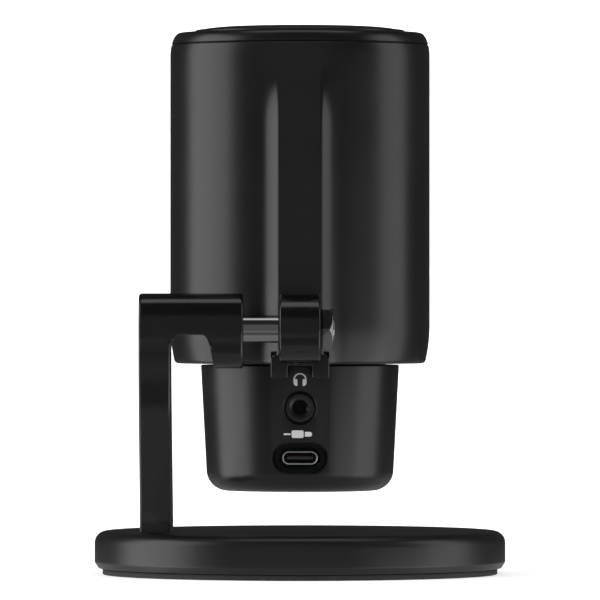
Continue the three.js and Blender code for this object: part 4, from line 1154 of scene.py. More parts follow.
@dataclass
class TopButton:
    """The rim round the top, the mute cap in it and the pictogram on the cap."""

    form: BodyForm
    rim_width: float = 2.6
    flange_width: float = 3.4
    flange_thick: float = 2.4
    disc_diameter: float = 37.0
    crown: float = 0.8
    cap_thick: float = 1.5
    cap_edge: float = 0.7
    stem_diameter: float = 5.0
    print_height: float = 0.04

    def build(self) -> None:
        """Make the rim, the cap and its pictogram."""
        self.rim()
        self.cap()
        self.muted_sign()

    def rim(self) -> None:
        """The rim that closes the body's top."""
        form = self.form
        span = Span.of("top_rim")
        line = Span.of("upper_housing").high.z
        outer_low = form.radius_at(line - form.seam)
        top_radius = form.radius - form.shoulder_width
        inner = top_radius - self.rim_width
        flange = inner - self.flange_width
        steps = 14
        outer = []
        for k in range(steps + 1):
            height = line + 0.25 + (form.top - 0.02 - line - 0.25) * math.sin(math.pi / 2 * k / steps)
            outer.append((form.radius_at(height - form.seam), height))
        spigot = outer_low - 2.4 - 0.3
        ledge = span.low.z + self.flange_thick
        profile = [
            (spigot, span.low.z),
            (spigot, line),
            (outer_low - 0.3, line),
            *outer,
            *rounded(
                [
                    (top_radius - 0.4, form.top),
                    (inner, form.top, 0.5),
                    (inner, ledge),
                    (flange, ledge),
                    (flange, span.low.z),
                ]
            ),
        ]
        rim = turned("top_rim_ring", profile, FINE, Facing.UP.at(form.axis.x, form.axis.y, 0))
        wear(rim, HOUSING, Body.MICROPHONE, "housing_black", "top_rim", crease=math.radians(40))

    def cap(self) -> None:
        """The mute cap: a flat disc inside a ring that slopes down to its rounded edge."""
        span = Span.of("mute_cap")
        radius, flat = span.size.x / 2, self.disc_diameter / 2
        skirt = span.low.z + 3.0
        high = span.high.z - self.print_height
        brim = high - self.crown
        stem = Span.of("switch_plunger").high.z + 0.1
        slope = []
        for k in range(1, 13):
            share = k / 12
            slope.append((flat + (radius - self.cap_edge - flat) * share, high - self.crown * share**1.7))
        edge = rounded([slope[-2], (radius, brim - 0.02, self.cap_edge), (radius, span.low.z)], 6)[1:-1]
        under = high - self.cap_thick
        profile = [
            *slope[:-1],
            *edge,
            (radius, span.low.z + 0.2),
            (radius - 0.2, span.low.z),
            (radius - self.cap_thick, span.low.z),
            (radius - self.cap_thick, brim - self.cap_thick),
            (flat, under),
            (self.stem_diameter / 2, under),
            (self.stem_diameter / 2, stem),
            (0.0, stem),
        ]
        top = [(0.0, high), (flat - 0.25, high), (flat, high - 0.05), (flat + 0.25, high - 0.03)]
        place = Facing.UP.at(self.form.axis.x, self.form.axis.y, 0)
        cap = turned("mute_cap_round", [*top, *profile], FINE, place)
        wear(cap, CAP, Body.BUTTON, "cap_black", "mute_cap", crease=math.radians(45))
        cap.data.materials.append(CAP_DISC.material())
        centre = Vector((self.form.axis.x, self.form.axis.y)) * MM
        for polygon in cap.data.polygons:
            away = (polygon.center.to_2d() - centre).length
            if polygon.center.z > skirt * MM and away < (flat - 0.2) * MM and polygon.normal.z > 0.5:
                polygon.material_index = 1

    def muted_sign(self) -> None:
        """The crossed-out microphone printed on the cap."""
        place = Facing.UP.at(self.form.axis.x, self.form.axis.y, Span.of("mute_cap").high.z)
        thick, sunk = 0.0, -2 * self.print_height
        head = [(a, b + 1.0) for b, a in stadium(3.9, 2.6)]
        cradle = self.band(2.15, 2.6, 0.35, -180, 0)
        stem = [(-0.24, -3.2), (0.24, -3.2), (0.24, -2.1), (-0.24, -2.1)]
        foot = [(-1.5, -3.55), (1.5, -3.55), (1.5, -3.1), (-1.5, -3.1)]
        sign = prism("muted_sign", head, sunk, thick, place)
        carved(sign, Carving.ADD, *(prism("part", part, sunk, thick, place) for part in (cradle, stem, foot)))
        slant = math.radians(45)
        along, aside = Vector((math.cos(slant), math.sin(slant))), Vector((-math.sin(slant), math.cos(slant)))

        def bar(half: float, width: float) -> list[Pair]:
            """An outline along the slant, of a half length and a half width."""
            ends = [(-half, -width), (half, -width), (half, width), (-half, width)]
            return [tuple(along * a + aside * b) for a, b in ends]

        carved(sign, Carving.CUT, prism("part", bar(4.5, 0.48), sunk - 1, thick + 1, place))
        carved(sign, Carving.ADD, prism("part", bar(3.8, 0.26), sunk, thick, place))
        wear(sign, CAP_INK, Body.BUTTON, "collar_black")

    @staticmethod
    def band(inner: float, outer: float, up: float, start: float, end: float, steps: int = 28) -> list[Pair]:
        """An arc-shaped band's outline, between two radii and two angles in degrees."""
        angles = [math.radians(start + (end - start) * k / steps) for k in range(steps + 1)]
        outside = [(outer * math.cos(t), up + outer * math.sin(t)) for t in angles]
        inside = [(inner * math.cos(t), up + inner * math.sin(t)) for t in reversed(angles)]
        return outside + inside


# ---------------------------------------------------------------- lower housing and ports


@dataclass
class LowerHousing:
    """The lower housing with its two ports and their pictograms."""

    form: BodyForm
    taper: float = 1.7
    wall: float = 2.2
    bottom_edge: float = 5.3
    jack_lip: float = 0.5
    usb_lip: float = 0.8
    window_lip: float = 0.2
    jack_opening: float = 8.8  # with its rounded mouth
    usb_recess: Pair = (14.4, 8.1)
    usb_window: Pair = (10.8, 5.5)
    usb_depth: float = 1.4
    shell_wall: float = 0.3
    collar_bore: float = 2.05  # radius
    socket_bore: float = 1.85  # radius
    tongue_half: Pair = (3.35, 0.35)  # half its width and thickness

    def build(self) -> None:
        """Make the housing, both ports and what is printed beside them."""
        self.span = Span.of("lower_housing")
        self.radius = self.span.size.x / 2
        self.jack = Span.of("jack_collar")
        self.usb = Span.of("usb_shell")
        self.shell()
        self.jack_port()
        self.usb_port()
        self.signs()

    def radius_at(self, z: float) -> float:
        """The outer radius at a height over the desk."""
        return self.radius - self.taper * (self.form.seam - z) / (self.form.seam - self.span.low.z)

    def back(self, x: float, z: float, depth: float = 0.0) -> Vector:
        """A point under the back of the wall."""
        behind = math.sqrt((self.radius_at(z) - depth) ** 2 - x**2)
        return Vector((self.form.axis.x + x, self.form.axis.y + behind, z))

    def shell(self) -> None:
        """The cup, with its openings cut, and painted shade on the USB recess's floor."""
        low, high = self.span.low.z, self.span.high.z
        foot = self.radius_at(low)
        outer = [(0.0, low), (foot, low, self.bottom_edge), (self.radius, high, 0.35)]
        inner = [
            (self.radius - self.wall, high, 0.3),
            (foot - self.wall, low + self.wall, self.bottom_edge - self.wall),
            (0.0, low + self.wall),
        ]
        place = Facing.UP.at(self.form.axis.x, self.form.axis.y, 0)
        cup = turned("lower_housing_cup", rounded([*outer, *inner], 14), FINE, place)
        board = Span.of("main_board").high.y
        jack_z, usb_z = self.jack.middle.z, self.usb.middle.z
        level = self.back(0, usb_z, self.usb_depth).y
        round_hole = (self.jack_opening, self.jack_opening)
        carved(
            cup,
            Carving.CUT,
            self.mouth(round_hole, self.jack_lip, jack_z, board),
            self.mouth(self.usb_recess, self.usb_lip, usb_z, level),
            self.mouth(self.usb_window, self.window_lip, usb_z, board, level),
        )
        wear(cup, HOUSING, Body.MICROPHONE, "housing_black", "lower_housing", crease=math.radians(28))
        # Painted shade in the USB recess: its floor takes the darker, duller finish.
        cup.data.materials.append(PORT_FLOOR_PAINTED_SHADE.material())
        for polygon in cup.data.polygons:
            a, y, z = polygon.center / MM - Vector((self.form.axis.x, self.form.axis.y, usb_z))
            if in_stadium(a, z, *self.usb_recess) and 5 < y < level - self.form.axis.y + 0.05:
                polygon.material_index = 1

    def mouth(
        self, size: Pair, lip: float, z: float, floor: float, level: float | None = None
    ) -> bpy.types.Object:
        """A cutter for an opening with a rounded mouth.

        Args:
            size: the mouth's width and height.
            lip: the rounding.
            z: its centre's height.
            floor: how far forward it reaches, as a y.
            level: the y of the flat face that it starts from, or None for the curved wall.

        Returns:
            The cutter.
        """
        arc = mouth_slope(lip)
        slope = arc[1][1] / max(arc[1][0], TINY)
        rings = []
        for depth, inset in [(-0.1, -0.1 * min(slope, 4.0)), *arc]:
            outline = stadium(size[0] - 2 * inset, size[1] - 2 * inset)
            if level is None:
                rings.append([self.back(a, z + b, depth) for a, b in outline])
            else:
                rings.append([Vector((self.form.axis.x + a, level - depth, z + b)) for a, b in outline])
        far = self.form.axis.y + self.radius + 4
        rings.insert(0, [Vector((point.x, far, point.z)) for point in rings[0]])
        rings.append([Vector((point.x, floor, point.z)) for point in rings[-1]])
        return lofted("mouth", rings)

    def jack_port(self) -> None:
        """The headphone jack: a collar with a soft rim, and the body with its contact spring."""
        body = Span.of("jack_body")
        middle = self.jack.middle
        radius, bore = self.jack.size.x / 2, self.collar_bore
        place = Facing.BACK.at(middle.x, 0, middle.z)
        low, high = self.jack.low.y, self.jack.high.y
        lip = [(radius, high, 0.35), (radius - 1.0, high, 0.3), (bore, high - 0.35, 0.3)]
        profile = rounded([(bore, low), (radius, low), *lip], 5)
        collar = turned("jack_collar_ring", profile, SMALL, place)
        wear(collar, COLLAR, Body.MICROPHONE, "collar_black", "jack_collar", crease=math.radians(40))
        socket = block("jack_socket", body.low, body.high)
        softened(socket, 0.3)
        carved(socket, Carving.CUT, drill(self.socket_bore, body.low.y + 1.2, body.high.y + 1, place))
        wear(socket, CHIP, Body.MICROPHONE, "chip_black", "jack_body")
        self.contact_spring(middle, body)

    def contact_spring(self, middle: Vector, body: Span) -> None:
        """The bent contact that glints in the jack's bore."""
        bends = [(1.6, 0.4), (1.75, 2.5), (1.15, 4.0), (1.75, 5.5)]
        reach = [(aside, body.high.y - deep) for aside, deep in bends]
        strip = reach + [(a + 0.18, b) for a, b in reversed(reach)]
        half, up = 0.45, middle.z - 0.3
        rings = [[Vector((middle.x - a, b, up + side * half)) for a, b in strip] for side in (-1, 1)]
        spring = lofted("jack_contact", rings)
        softened(spring, 0.05, segments=2)
        wear(spring, STEEL, Body.MICROPHONE, "bright_steel")

    def usb_port(self) -> None:
        """The receptacle: a drawn steel shell, its tongue and the tongue's contacts."""
        span, middle = self.usb, self.usb.middle
        width, height = span.size.x, span.size.z
        wall, edge = self.shell_wall, 0.1
        rings = []
        along = [(span.low.y, 0.0), (span.high.y - edge, 0.0), (span.high.y - edge * 0.3, edge * 0.3)]
        outer = [*along, (span.high.y, edge)]
        inner = [(span.high.y, wall - edge), (span.high.y - edge, wall), (span.low.y, wall)]
        for y, inset in (*outer, *inner):
            outline = stadium(width - 2 * inset, height - 2 * inset)
            rings.append([Vector((middle.x + a, y, middle.z + b)) for a, b in outline])
        count = len(rings[0])
        numbers = [list(range(i * count, (i + 1) * count)) for i in range(len(rings))]
        points = [point for ring in rings for point in ring]
        shell = make_piece("usb_shell_drawn", points, bridged(numbers, loop=True))
        tidy_mesh(shell.data)
        wear(shell, TINNED, Body.MICROPHONE, "bright_steel", "usb_shell", crease=math.radians(40))
        tongue = Span.of("usb_tongue")
        wide, thin = self.tongue_half
        root = block(
            "usb_tongue_blade",
            (tongue.low.x, tongue.low.y, tongue.low.z),
            (tongue.high.x, tongue.low.y + tongue.size.y / 3, tongue.high.z),
        )
        near = (middle.x - wide, tongue.low.y, middle.z - thin)
        far = (middle.x + wide, tongue.high.y, middle.z + thin)
        blade = block("part", near, far)
        carved(root, Carving.ADD, blade)
        softened(root, 0.14, segments=3)
        wear(root, CHIP, Body.MICROPHONE, "chip_black", "usb_tongue")
        self.contacts(tongue, middle, thin)

    def contacts(self, tongue: Span, middle: Vector, thin: float) -> None:
        """The tongue's two rows of contacts, set out by Geometry Nodes."""
        pitch, count, length, width, thick = 0.5, 12, 2.6, 0.26, 0.03
        pad = block("contact_pad", (-width / 2, -length / 2, -thick), (width / 2, length / 2, thick))
        first, tip = middle.x - pitch * (count - 1) / 2, tongue.high.y - 0.6 - length / 2
        for side, level in ((-1, "low"), (1, "high")):
            row = make_piece(f"usb_contacts_{level}", [Vector()], [])
            start = Vector((first, tip, middle.z + side * thin))
            sizes = {"Count": count, "Pitch": pitch * MM, "Start": start * MM}
            set_out(row, self.row_tree(pad), sizes)
            wear(row, GOLD, Body.MICROPHONE, "bright_steel")
        discard(pad)

    @staticmethod
    def row_tree(pad: bpy.types.Object) -> bpy.types.NodeTree:
        """The modifier's tree that sets out a row of pads, with its count, pitch and start as inputs."""
        graph = Graph.of_modifier("contact_row", {"Count": "Int", "Pitch": "Float", "Start": "Vector"})
        given = graph.add("NodeGroupInput")
        step = graph.add("ShaderNodeCombineXYZ", inputs={0: graph.value(given, "Pitch")})
        places = {
            "Count": graph.value(given, "Count"),
            "Start Location": given.outputs["Start"],
            "Offset": step.outputs[0],
        }
        line = graph.add("GeometryNodeMeshLine", inputs=places)
        return graph.end(graph.copies(line.outputs[0], pad), GOLD.material())

    def signs(self) -> None:
        """The two printed pictograms: a headphone over the jack and a plug over the USB port."""
        band = TopButton.band(1.32, 1.65, 0.0, 0, 180)
        cups = []
        for side in (-1, 1):
            outer, inner = side * 1.65, side * 0.65
            foot = [(outer, -1.6, 0.85), (inner, -1.6, 0.15)]
            cups.append(rounded([(outer, -0.02), *foot, (inner, 0.12, 0.2), (outer, 0.12)], 6))
        self.sign("headphone_sign", [band, *cups], self.form.seam - 3.87)
        case = rounded([(-2.1, -0.95, 0.35), (0.9, -0.95, 0.35), (0.9, 0.95, 0.35), (-2.1, 0.95, 0.35)], 5)
        nose = rounded([(1.2, -0.6, 0.1), (3.0, -0.6, 0.55), (3.0, 0.6, 0.55), (1.2, 0.6, 0.1)], 5)
        lead = [(-4.1, -0.2), (-2.35, -0.2), (-2.35, 0.2), (-4.1, 0.2)]
        self.sign("plug_sign", [case, nose, lead], (self.jack.middle.z + self.usb.middle.z) / 2 - 0.3)

    def sign(self, name: str, outlines: Sequence[Sequence[Pair]], z: float) -> None:
        """Print outlines on the back of the wall.

        Args:
            name: the pictogram's name.
            outlines: its parts, drawn flat.
            z: the height of its middle over the desk.
        """
        flat = Facing.UP.at()
        sunk, proud, step = -0.06, 0.04, 0.3
        work = prism(name, outlines[0], sunk, proud, flat)
        carved(work, Carving.ADD, *(prism("part", outline, sunk, proud, flat) for outline in outlines[1:]))
        mesh = bmesh.new()
        mesh.from_mesh(work.data)
        for k in range(-15, 16):
            cut = {"plane_co": (k * step * MM, 0, 0), "plane_no": (1, 0, 0)}
            bmesh.ops.bisect_plane(mesh, geom=[*mesh.verts, *mesh.edges, *mesh.faces], **cut)
        for vertex in mesh.verts:
            a, b, proud_by = vertex.co / MM
            vertex.co = self.back(-a, z + b, -proud_by) * MM
        mesh.to_mesh(work.data)
        mesh.free()
        tidy_mesh(work.data)
        wear(work, INK, Body.MICROPHONE, "collar_black", crease=math.radians(20))


# ---------------------------------------------------------------- hinge


@dataclass
class Hinge:
    """The tilt hinge: the bracket on the body, the rod through it, its nut and its washers."""

    form: BodyForm
    lug_width: float = 10.2
    lug_edge: float = 0.6
    pad_width: float = 14.6
    pad_up: float = 3.3
    pad_edge: float = 0.35
    notch_width: float = 6.1
    scoop: float = 1.7
    thread: float = 6.0
    pitch: float = 1.0
    thread_depth: float = 0.35
    nut_flats: float = 10.0
    nut_chamfer: float = 47.0  # degrees from its outer face
    washer_seat: float = 5.7  # radius

    def build(self) -> None:
        """Make the bracket, the rod, the nut and the washers."""
        self.span = Span.of("hinge_bracket")
        self.centre = Span.of("pivot_nut").middle
        self.lug = self.span.high.y - self.centre.y
        self.face = Span.of("upper_housing").high.y + 0.3
        self.bracket()
        self.rod()
        self.nut()
        self.washers()

    def bracket(self) -> None:
        """The bracket: a round lug whose foot hooks under the body's lower edge."""
        y, z = self.centre.y, self.centre.z
        half = self.lug_width / 2
        arc = [math.radians(-90 + 180 * k / 40) for k in range(41)]
        nose = [(self.lug * math.cos(t), self.lug * math.sin(t)) for t in arc]
        outline = [(self.face - y, -self.lug), *nose, (self.face - y, self.lug)]
        lug = prism("hinge_bracket_lug", outline, -half, half, Facing.ARM_SIDE.at(0, y, z), self.lug_edge)
        pad_half = self.pad_width / 2
        back = self.form.axis.y + self.form.radius + 5.6
        high = self.form.seam + self.pad_up
        low, under = self.span.low, self.form.seam - 0.3
        plate = block("part", (-pad_half, self.face, low.z), (pad_half, back, high))
        hook = block("part", (-pad_half, low.y, low.z), (pad_half, back - 0.6, under))
        carved(plate, Carving.ADD, hook)
        notch = self.notch_width / 2
        gap = block("notch", (-notch, low.y - 1, low.z - 1), (notch, back + 1, under))
        carved(plate, Carving.CUT, gap)
        softened(plate, self.pad_edge, segments=3)
        scoops = []
        for side in (-1, 1):
            ball = [
                (self.scoop * math.cos(t), self.scoop * math.sin(t))
                for t in (math.radians(-90 + 180 * k / 16) for k in range(17))
            ]
            ball[0], ball[-1] = (0.0, -self.scoop), (0.0, self.scoop)
            scoops.append(turned("scoop", ball, 32, Facing.UP.at(side * (pad_half - 0.5), back, high)))
        carved(plate, Carving.CUT, *scoops)
        carved(lug, Carving.ADD, plate)
        place = Facing.ARM_SIDE.at(0, y, z)
        carved(lug, Carving.CUT, drill(self.thread / 2 + 1.5, -half - 1, half + 1, place))
        for side in (-1, 1):
            near, far = sorted((side * (half - 0.7), side * (half + 1)))
            carved(lug, Carving.CUT, drill(self.washer_seat, near, far, place))
        wear(lug, LACQUER, Body.MICROPHONE, "hinge_black", "hinge_bracket", crease=math.radians(30))

    def rod(self) -> None:
        """The rod: polished between the lug and the arm, with a real thread under the nut."""
        span = Span.of("pivot_rod")
        place = Facing.ARM_SIDE.at(0, self.centre.y, self.centre.z)
        radius = span.size.y / 2
        shoulder = self.lug_width / 2
        body = [
            (0.0, shoulder - 0.4),
            (self.thread / 2 - self.thread_depth, shoulder - 0.4),
            (self.thread / 2, shoulder),
            (radius - 0.3, shoulder),
            (radius, shoulder + 0.3),
            (radius, span.high.x - 0.5),
            (radius - 0.5, span.high.x),
            (0.0, span.high.x),
        ]
        rod = turned("pivot_rod_polished", body, SMALL, place)
        wear(rod, ROD, Body.STAND, "rod_steel", "pivot_rod", crease=math.radians(30))
        self.threaded_end(span.low.x, shoulder - 0.3, place)

    def threaded_end(self, start: float, end: float, place: Matrix) -> None:
        """The thread, as one surface whose radius follows the helix."""
        sides, step = 48, 0.1
        count = round((end - start) / step)
        rings = []
        for k in range(count + 1):
            x = start + (end - start) * k / count
            tip = min(1.0, (x - start) / 0.45)
            ring = []
            for i in range(sides):
                turn = i / sides
                phase = (x / self.pitch + turn) % 1
                groove = self.thread_depth * abs(2 * phase - 1) * tip
                radius = self.thread / 2 - groove - 0.45 * (1 - tip)
                angle = 2 * math.pi * turn
                ring.append(place @ Vector((radius * math.cos(angle), radius * math.sin(angle), x)))
            rings.append(ring)
        thread = lofted("pivot_rod_thread", rings)
        wear(thread, ROD, Body.STAND, "rod_steel", crease=math.radians(60))

    def nut(self) -> None:
        """The hex nut, chamfered on its outer face."""
        span = Span.of("pivot_nut")
        corner = self.nut_flats / math.sqrt(3)
        place = Facing.ARM_SIDE.at(0, self.centre.y, self.centre.z)
        sixths = [math.radians(60 * k) for k in range(6)]
        hexagon = [(corner * math.cos(t), corner * math.sin(t)) for t in sixths]
        nut = prism("pivot_nut_hex", hexagon, span.low.x, span.high.x, place)
        flat = self.nut_flats / 2 - 0.2
        drop = (corner - flat) * math.tan(math.radians(self.nut_chamfer))
        wide = corner + 0.05
        cone = [
            (0.0, span.high.x + 1),
            (wide, span.high.x + 1),
            (wide, span.low.x + drop),
            (flat, span.low.x),
            (0.0, span.low.x - 0.001),
        ]
        carved(nut, Carving.KEEP_COMMON, turned("cone", cone, 180, place))
        inner = self.thread / 2
        bore = [
            (0.0, span.low.x - 1),
            (inner + 0.6, span.low.x - 1),
            (inner + 0.5, span.low.x),
            (inner - 0.05, span.low.x + 0.55),
            (inner - 0.05, span.high.x + 1),
            (0.0, span.high.x + 1),
        ]
        carved(nut, Carving.CUT, turned("bore", bore, SMALL, place))
        softened(nut, 0.1, segments=2, above=40)
        wear(nut, NUT, Body.STAND, "dark_steel", "pivot_nut", crease=math.radians(25))

    def washers(self) -> None:
        """The washers either side of the lug."""
        for node, body, finish, slot in (
            ("nut_washer", Body.STAND, STEEL, "bright_steel"),
            ("friction_washer", Body.MICROPHONE, NYLON, "nylon"),
        ):
            span = Span.of(node)
            radius, bore = span.size.y / 2, self.thread / 2 + 0.15
            low, high = span.low.x, span.high.x
            profile = rounded([(bore, low), (radius, low, 0.12), (radius, high, 0.12), (bore, high)], 3)
            place = Facing.ARM_SIDE.at(0, self.centre.y, self.centre.z)
            wear(turned(f"{node}_ring", profile, SMALL, place), finish, body, slot, node)


# ---------------------------------------------------------------- stand


@dataclass
class Stand:
    """The stand: the side arm with its knuckle, the round weighted base and its rubber foot."""

    edge: float = 0.8
    knuckle_height: float = 18.8
    crown: float = 12.0
    corner: float = 6.6
    knuckle_back: float = 9.0
    drop: float = 0.5
    knuckle_length: float = 10.0
    fillet: float = 2.5
    neck_under: float = 1.5
    blade: float = 8.0
    foot_length: float = 26.0
    base_edge: float = 3.0

    def build(self) -> None:
        """Make the arm, the base and the foot."""
        self.span = Span.of("stand_arm")
        self.pivot = Span.of("pivot_nut").middle
        self.arm()
        self.base()
        self.foot()

    def knuckle(self, start: float = -90.0, end: float = 270.0) -> list[Pair]:
        """The knuckle's outline: a crowned back with tighter corners, and a round front about the rod.

        Args:
            start: leave out what lies before this direction, in degrees from straight back.
            end: leave out what lies past it.

        Returns:
            The outline, from the underside round the back and over the top to the front.
        """
        half = self.knuckle_height / 2
        reach = self.crown - self.corner
        lean = math.asin((half - self.corner) / reach)
        face = self.knuckle_back - self.crown
        corner = Vector((face + reach * math.cos(lean), reach * math.sin(lean)))
        quarter = math.pi / 2
        arcs = [
            (corner.x, -corner.y, self.corner, -quarter, -lean, 12),
            (face, 0.0, self.crown, -lean, lean, 16),
            (corner.x, corner.y, self.corner, lean, quarter, 12),
            (0.0, 0.0, half, quarter, 3 * quarter, 36),
        ]
        points = []
        for a, b, radius, first, last, steps in arcs:
            for k in range(steps + 1):
                t = first + (last - first) * k / steps
                if math.radians(start) <= t <= math.radians(end):
                    points.append((a + radius * math.cos(t), b - self.drop + radius * math.sin(t)))
        return [point for i, point in enumerate(points) if math.dist(point, points[i - 1]) > 0.01]

    def blade_outline(self) -> list[Pair]:
        """The blade's outline: the knuckle's upper part, swept down and forwards to a foot on the base."""
        low = self.span.low.z - self.pivot.z
        front = self.span.low.y - self.pivot.y
        back = front + self.foot_length
        head = self.knuckle(start=-18, end=200)
        (ax, ay), (bx, by) = head[0], head[-1]
        rear = curve((back, low), (back - 1, low * 0.75), (ax - 0.5, low * 0.5), (ax, ay))
        fore = curve((bx, by), (bx + 3.4, low * 0.36), (front + 5, low * 0.72), (front, low))
        return [*rear[:-1], *head, *fore[1:]]

    def arm(self) -> None:
        """The arm, from the knuckle on the rod out to the blade and down to the base."""
        span, pivot = self.span, self.pivot
        place = Facing.ARM_SIDE.at(0, pivot.y, pivot.z)
        inner = span.high.x - self.blade
        outline = self.knuckle()
        levels = [(height, inset, -20.0) for height, inset in rim_arc(self.edge, 6)]
        levels += [(x, 0.0, self.underside(x, inner - span.low.x)) for x in self.stations(inner - span.low.x)]
        rings = []
        for x, inset, under in levels:
            drawn = drawn_in(outline, inset) if inset else outline
            rings.append([place @ Vector((a, self.kept_over(b, under), span.low.x + x)) for a, b in drawn])
        cast = lofted("stand_arm_cast", rings)
        blade = prism("part", self.blade_outline(), inner, span.high.x, place, self.edge)
        carved(cast, Carving.ADD, blade)
        rod = Span.of("pivot_rod")
        radius = rod.size.y / 2 + 0.08
        carved(cast, Carving.CUT, drill(radius, span.low.x - 1, rod.high.x + 0.1, place))
        wear(cast, LACQUER, Body.STAND, "arm_black", "stand_arm", crease=math.radians(30))

    def stations(self, length: float) -> list[float]:
        """Where the loft's rings stand along the rod, to just inside the blade."""
        start, step = self.edge, 0.5
        count = round((length + self.edge - start) / step)
        return [start + (length + self.edge - start) * k / count for k in range(1, count + 1)]

    def underside(self, x: float, length: float) -> float:
        """How far under the rod the arm reaches: the whole knuckle, then the neck, then the blade's root."""
        fall = self.knuckle_height / 2
        near = max(0.0, 1 - max(0.0, x - self.knuckle_length + self.fillet) / self.fillet)
        far = max(0.0, 1 - (length - x) / self.fillet)
        hollow = 1 - math.sqrt(1 - near**2) + 0.35 * (1 - math.sqrt(max(0.0, 1 - min(1.0, far) ** 2)))
        return -self.neck_under - (fall + 1.0) * hollow

    @staticmethod
    def kept_over(height: float, under: float) -> float:
        """Keep a point over a height, with a soft corner."""
        return (height + under + math.hypot(height - under, 0.7)) / 2

    def base(self) -> None:
        """The base's cover: a round cap with a soft shoulder."""
        span = Span.of("base_shell")
        radius, low, high = span.size.x / 2, span.low.z, span.high.z
        wall = 2.5
        outline = [
            (0.0, high),
            (radius, high, self.base_edge),
            (radius, low + 1.6, 0.6),
            (radius - 1.0, low, 0.3),
            (radius - wall, low),
            (radius - wall, high - wall),
            (0.0, high - wall),
        ]
        place = Facing.UP.at(span.middle.x, span.middle.y, 0)
        cover = turned("base_cover", rounded(outline, 10), FINE, place)
        wear(cover, BASE, Body.STAND, "base_black", "base_shell", crease=math.radians(40))

    def foot(self) -> None:
        """The rubber foot."""
        span = Span.of("foot_pad")
        radius, low, high = span.size.x / 2, span.low.z, span.high.z
        outline = [(0.0, low), (radius, low, 0.35), (radius, high, 0.35), (0.0, high)]
        place = Facing.UP.at(span.middle.x, span.middle.y, 0)
        foot = turned("foot_pad_ring", rounded(outline, 4), FINE, place)
        wear(foot, RUBBER, Body.STAND, "rubber_black", "foot_pad", crease=math.radians(40))


def curve(start: Pair, first: Pair, second: Pair, end: Pair, steps: int = 24) -> list[Pair]:
    """Points along a cubic curve between two ends, led by two handles."""
    points = []
    for k in range(steps + 1):
        t = k / steps
        weights = ((1 - t) ** 3, 3 * t * (1 - t) ** 2, 3 * t**2 * (1 - t), t**3)
        places = (start, first, second, end)
        points.append(tuple(sum(w * p[i] for w, p in zip(weights, places)) for i in (0, 1)))
    return points


# ---------------------------------------------------------------- studio


@dataclass(frozen=True)
class Lamp:
    """A soft rectangular light that faces the object."""

    name: str
    azimuth: float  # degrees from straight behind the object, towards +X
    elevation: float
    distance: float
    width: float
    height: float
    radiance: float

    def place(self, aim: Vector) -> None:
        """Hang the light and point it at the object."""
        data = bpy.data.lights.new(self.name, "AREA")
        data.shape = "RECTANGLE"
        data.size, data.size_y = self.width, self.height
        data.energy = self.radiance * math.pi * self.width * self.height
        lamp = bpy.data.objects.new(self.name, data)
        turn, lift = math.radians(self.azimuth), math.radians(self.elevation)
        away = Vector((math.sin(turn) * math.cos(lift), math.cos(turn) * math.cos(lift), math.sin(lift)))
        lamp.location = aim + away * self.distance
        lamp.rotation_euler = away.to_track_quat("Z", "Y").to_euler()
        lamp.visible_camera = False
        bpy.context.scene.collection.objects.link(lamp)


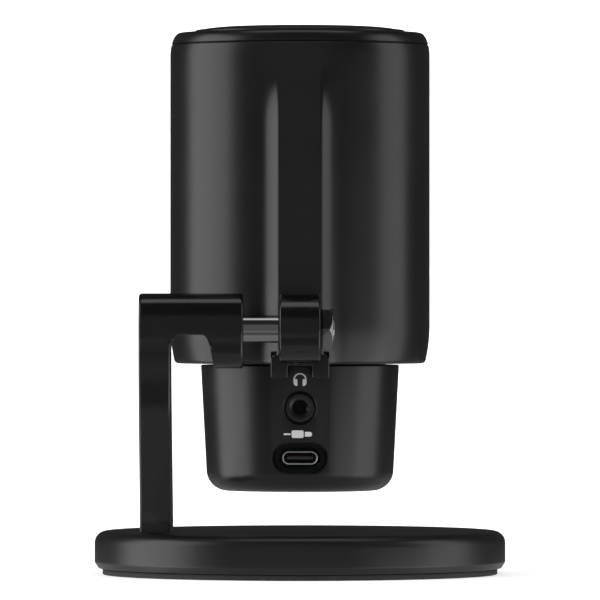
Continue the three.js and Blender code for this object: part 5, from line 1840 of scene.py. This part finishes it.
@dataclass
class Studio:
    """The pale room, its soft lights and the camera behind the microphone."""

    camera_distance: float = 2.0
    view_height: float = 0.152  # of the picture, in metres at the object
    sensor: float = 36.0
    floor_radius: float = 5.0
    sweep: float = 2.0

    def build(self) -> None:
        """Set up the room, the lights and the camera."""
        low, high = (Vector(corner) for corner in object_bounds())
        aim = Vector(((low.x + high.x) / 2, 0, (low.z + high.z) / 2))
        self.room()
        for lamp in (
            Lamp("arm_side_light", 88, 0, 0.9, 0.84, 1.7, 2.1),
            Lamp("far_side_light", -90, 0, 0.9, 0.5, 1.7, 1.35),
            Lamp("far_side_wing", -60, -24, 1.0, 0.75, 0.72, 1.2),
            Lamp("front_fill", 4, 4, 1.4, 1.7, 1.8, 0.17),
            Lamp("overhead", 0, 88, 0.9, 0.9, 0.32, 1.3),
            Lamp("floor_bounce", 0, -90, 0.075, 0.56, 0.56, 0.13),
            Lamp("under_bounce", 0, -90, 0.074, 0.17, 0.17, 0.24),
        ):
            lamp.place(aim)
        self.camera(aim)

    def room(self) -> None:
        """A pale floor that sweeps up into walls all round."""
        profile = [(0.0, 0.0), (self.floor_radius, 0.0)]
        for k in range(1, 17):
            turn = math.pi / 2 * k / 16
            profile.append(
                (self.floor_radius + self.sweep * math.sin(turn), self.sweep * (1 - math.cos(turn)))
            )
        profile.append((self.floor_radius + self.sweep, 6.0))
        points, rings, sides = [], [], 96
        for radius, height in profile:
            rings.append(list(range(len(points), len(points) + sides)))
            for i in range(sides):
                angle = 2 * math.pi * i / sides
                points.append(Vector((radius * math.cos(angle), radius * math.sin(angle), height)) / MM)
        room = make_piece("pale_room", points, bridged(rings, loop=False))
        tidy_mesh(room.data)
        room.data.shade_smooth()
        # the paper glows evenly, apart from a painted shadow under the object
        pale = PaperFinish("pale_paper", (0.8, 0.8, 0.8), 0.9, grain=2.0, relief=0.01, mottle=0.01, glow=0.95)
        room.data.materials.append(pale.material())
        room.visible_glossy = False
        room.visible_shadow = False
        room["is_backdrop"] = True
        world = bpy.data.worlds.new("studio")
        world.use_nodes = True
        world.node_tree.nodes.clear()
        graph = Graph(world.node_tree)
        shine = graph.add("ShaderNodeBackground", inputs={"Color": (1, 1, 1, 1), "Strength": 0.05})
        graph.add("ShaderNodeOutputWorld", inputs={"Surface": shine.outputs[0]})
        bpy.context.scene.world = world
        bpy.context.scene.view_settings.view_transform = "Standard"

    def camera(self, aim: Vector) -> None:
        """A long lens, level behind the microphone."""
        data = bpy.data.cameras.new("camera")
        data.sensor_width = self.sensor
        data.lens = self.sensor * self.camera_distance / self.view_height
        camera = bpy.data.objects.new("camera", data)
        away = Vector((0, 1, 0))
        camera.location = aim + away * self.camera_distance
        camera.rotation_euler = away.to_track_quat("Z", "Y").to_euler()
        bpy.context.scene.collection.objects.link(camera)
        bpy.context.scene.camera = camera


def let_past(lamp: str, *names: str) -> None:
    """Let a lamp shine past some pieces, so that they don't break the long highlights beside them."""
    blockers = bpy.data.collections.new(f"{lamp}_blockers")
    for name in names:
        blockers.objects.link(bpy.data.objects[name])
    for member in blockers.collection_objects:
        member.light_linking.link_state = "EXCLUDE"
    bpy.data.objects[lamp].light_linking.blocker_collection = blockers


def dress_kept_pieces(nodes: dict[str, bpy.types.Object]) -> None:
    """Give the frame's own pieces that stay in sight or inside their finishes."""
    for finish, names in KEPT.items():
        for name in names:
            for slot in nodes[name].material_slots:
                slot.material = finish.material()
            log.info("%s: kept, in %s", name, finish.name)


def main() -> None:
    """Build the microphone round its frame and light it."""
    logging.basicConfig(level=logging.INFO, format="%(name)s: %(message)s")
    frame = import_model()
    Studio().build()
    form = BodyForm.from_frame()
    for part in (UpperHousing(form), Grille(form), TopButton(form), LowerHousing(form), Hinge(form), Stand()):
        part.build()
    dress_kept_pieces(frame["nodes"])
    let_past("arm_side_light", "stand_arm_cast")
    carried = [frame["nodes"][name].name for name in ("base_plate", "base_weight")]
    base = ("base_cover", "foot_pad_ring", *carried)
    for lamp in ("floor_bounce", "under_bounce"):
        let_past(lamp, *base)


if __name__ == "__main__":
    main()
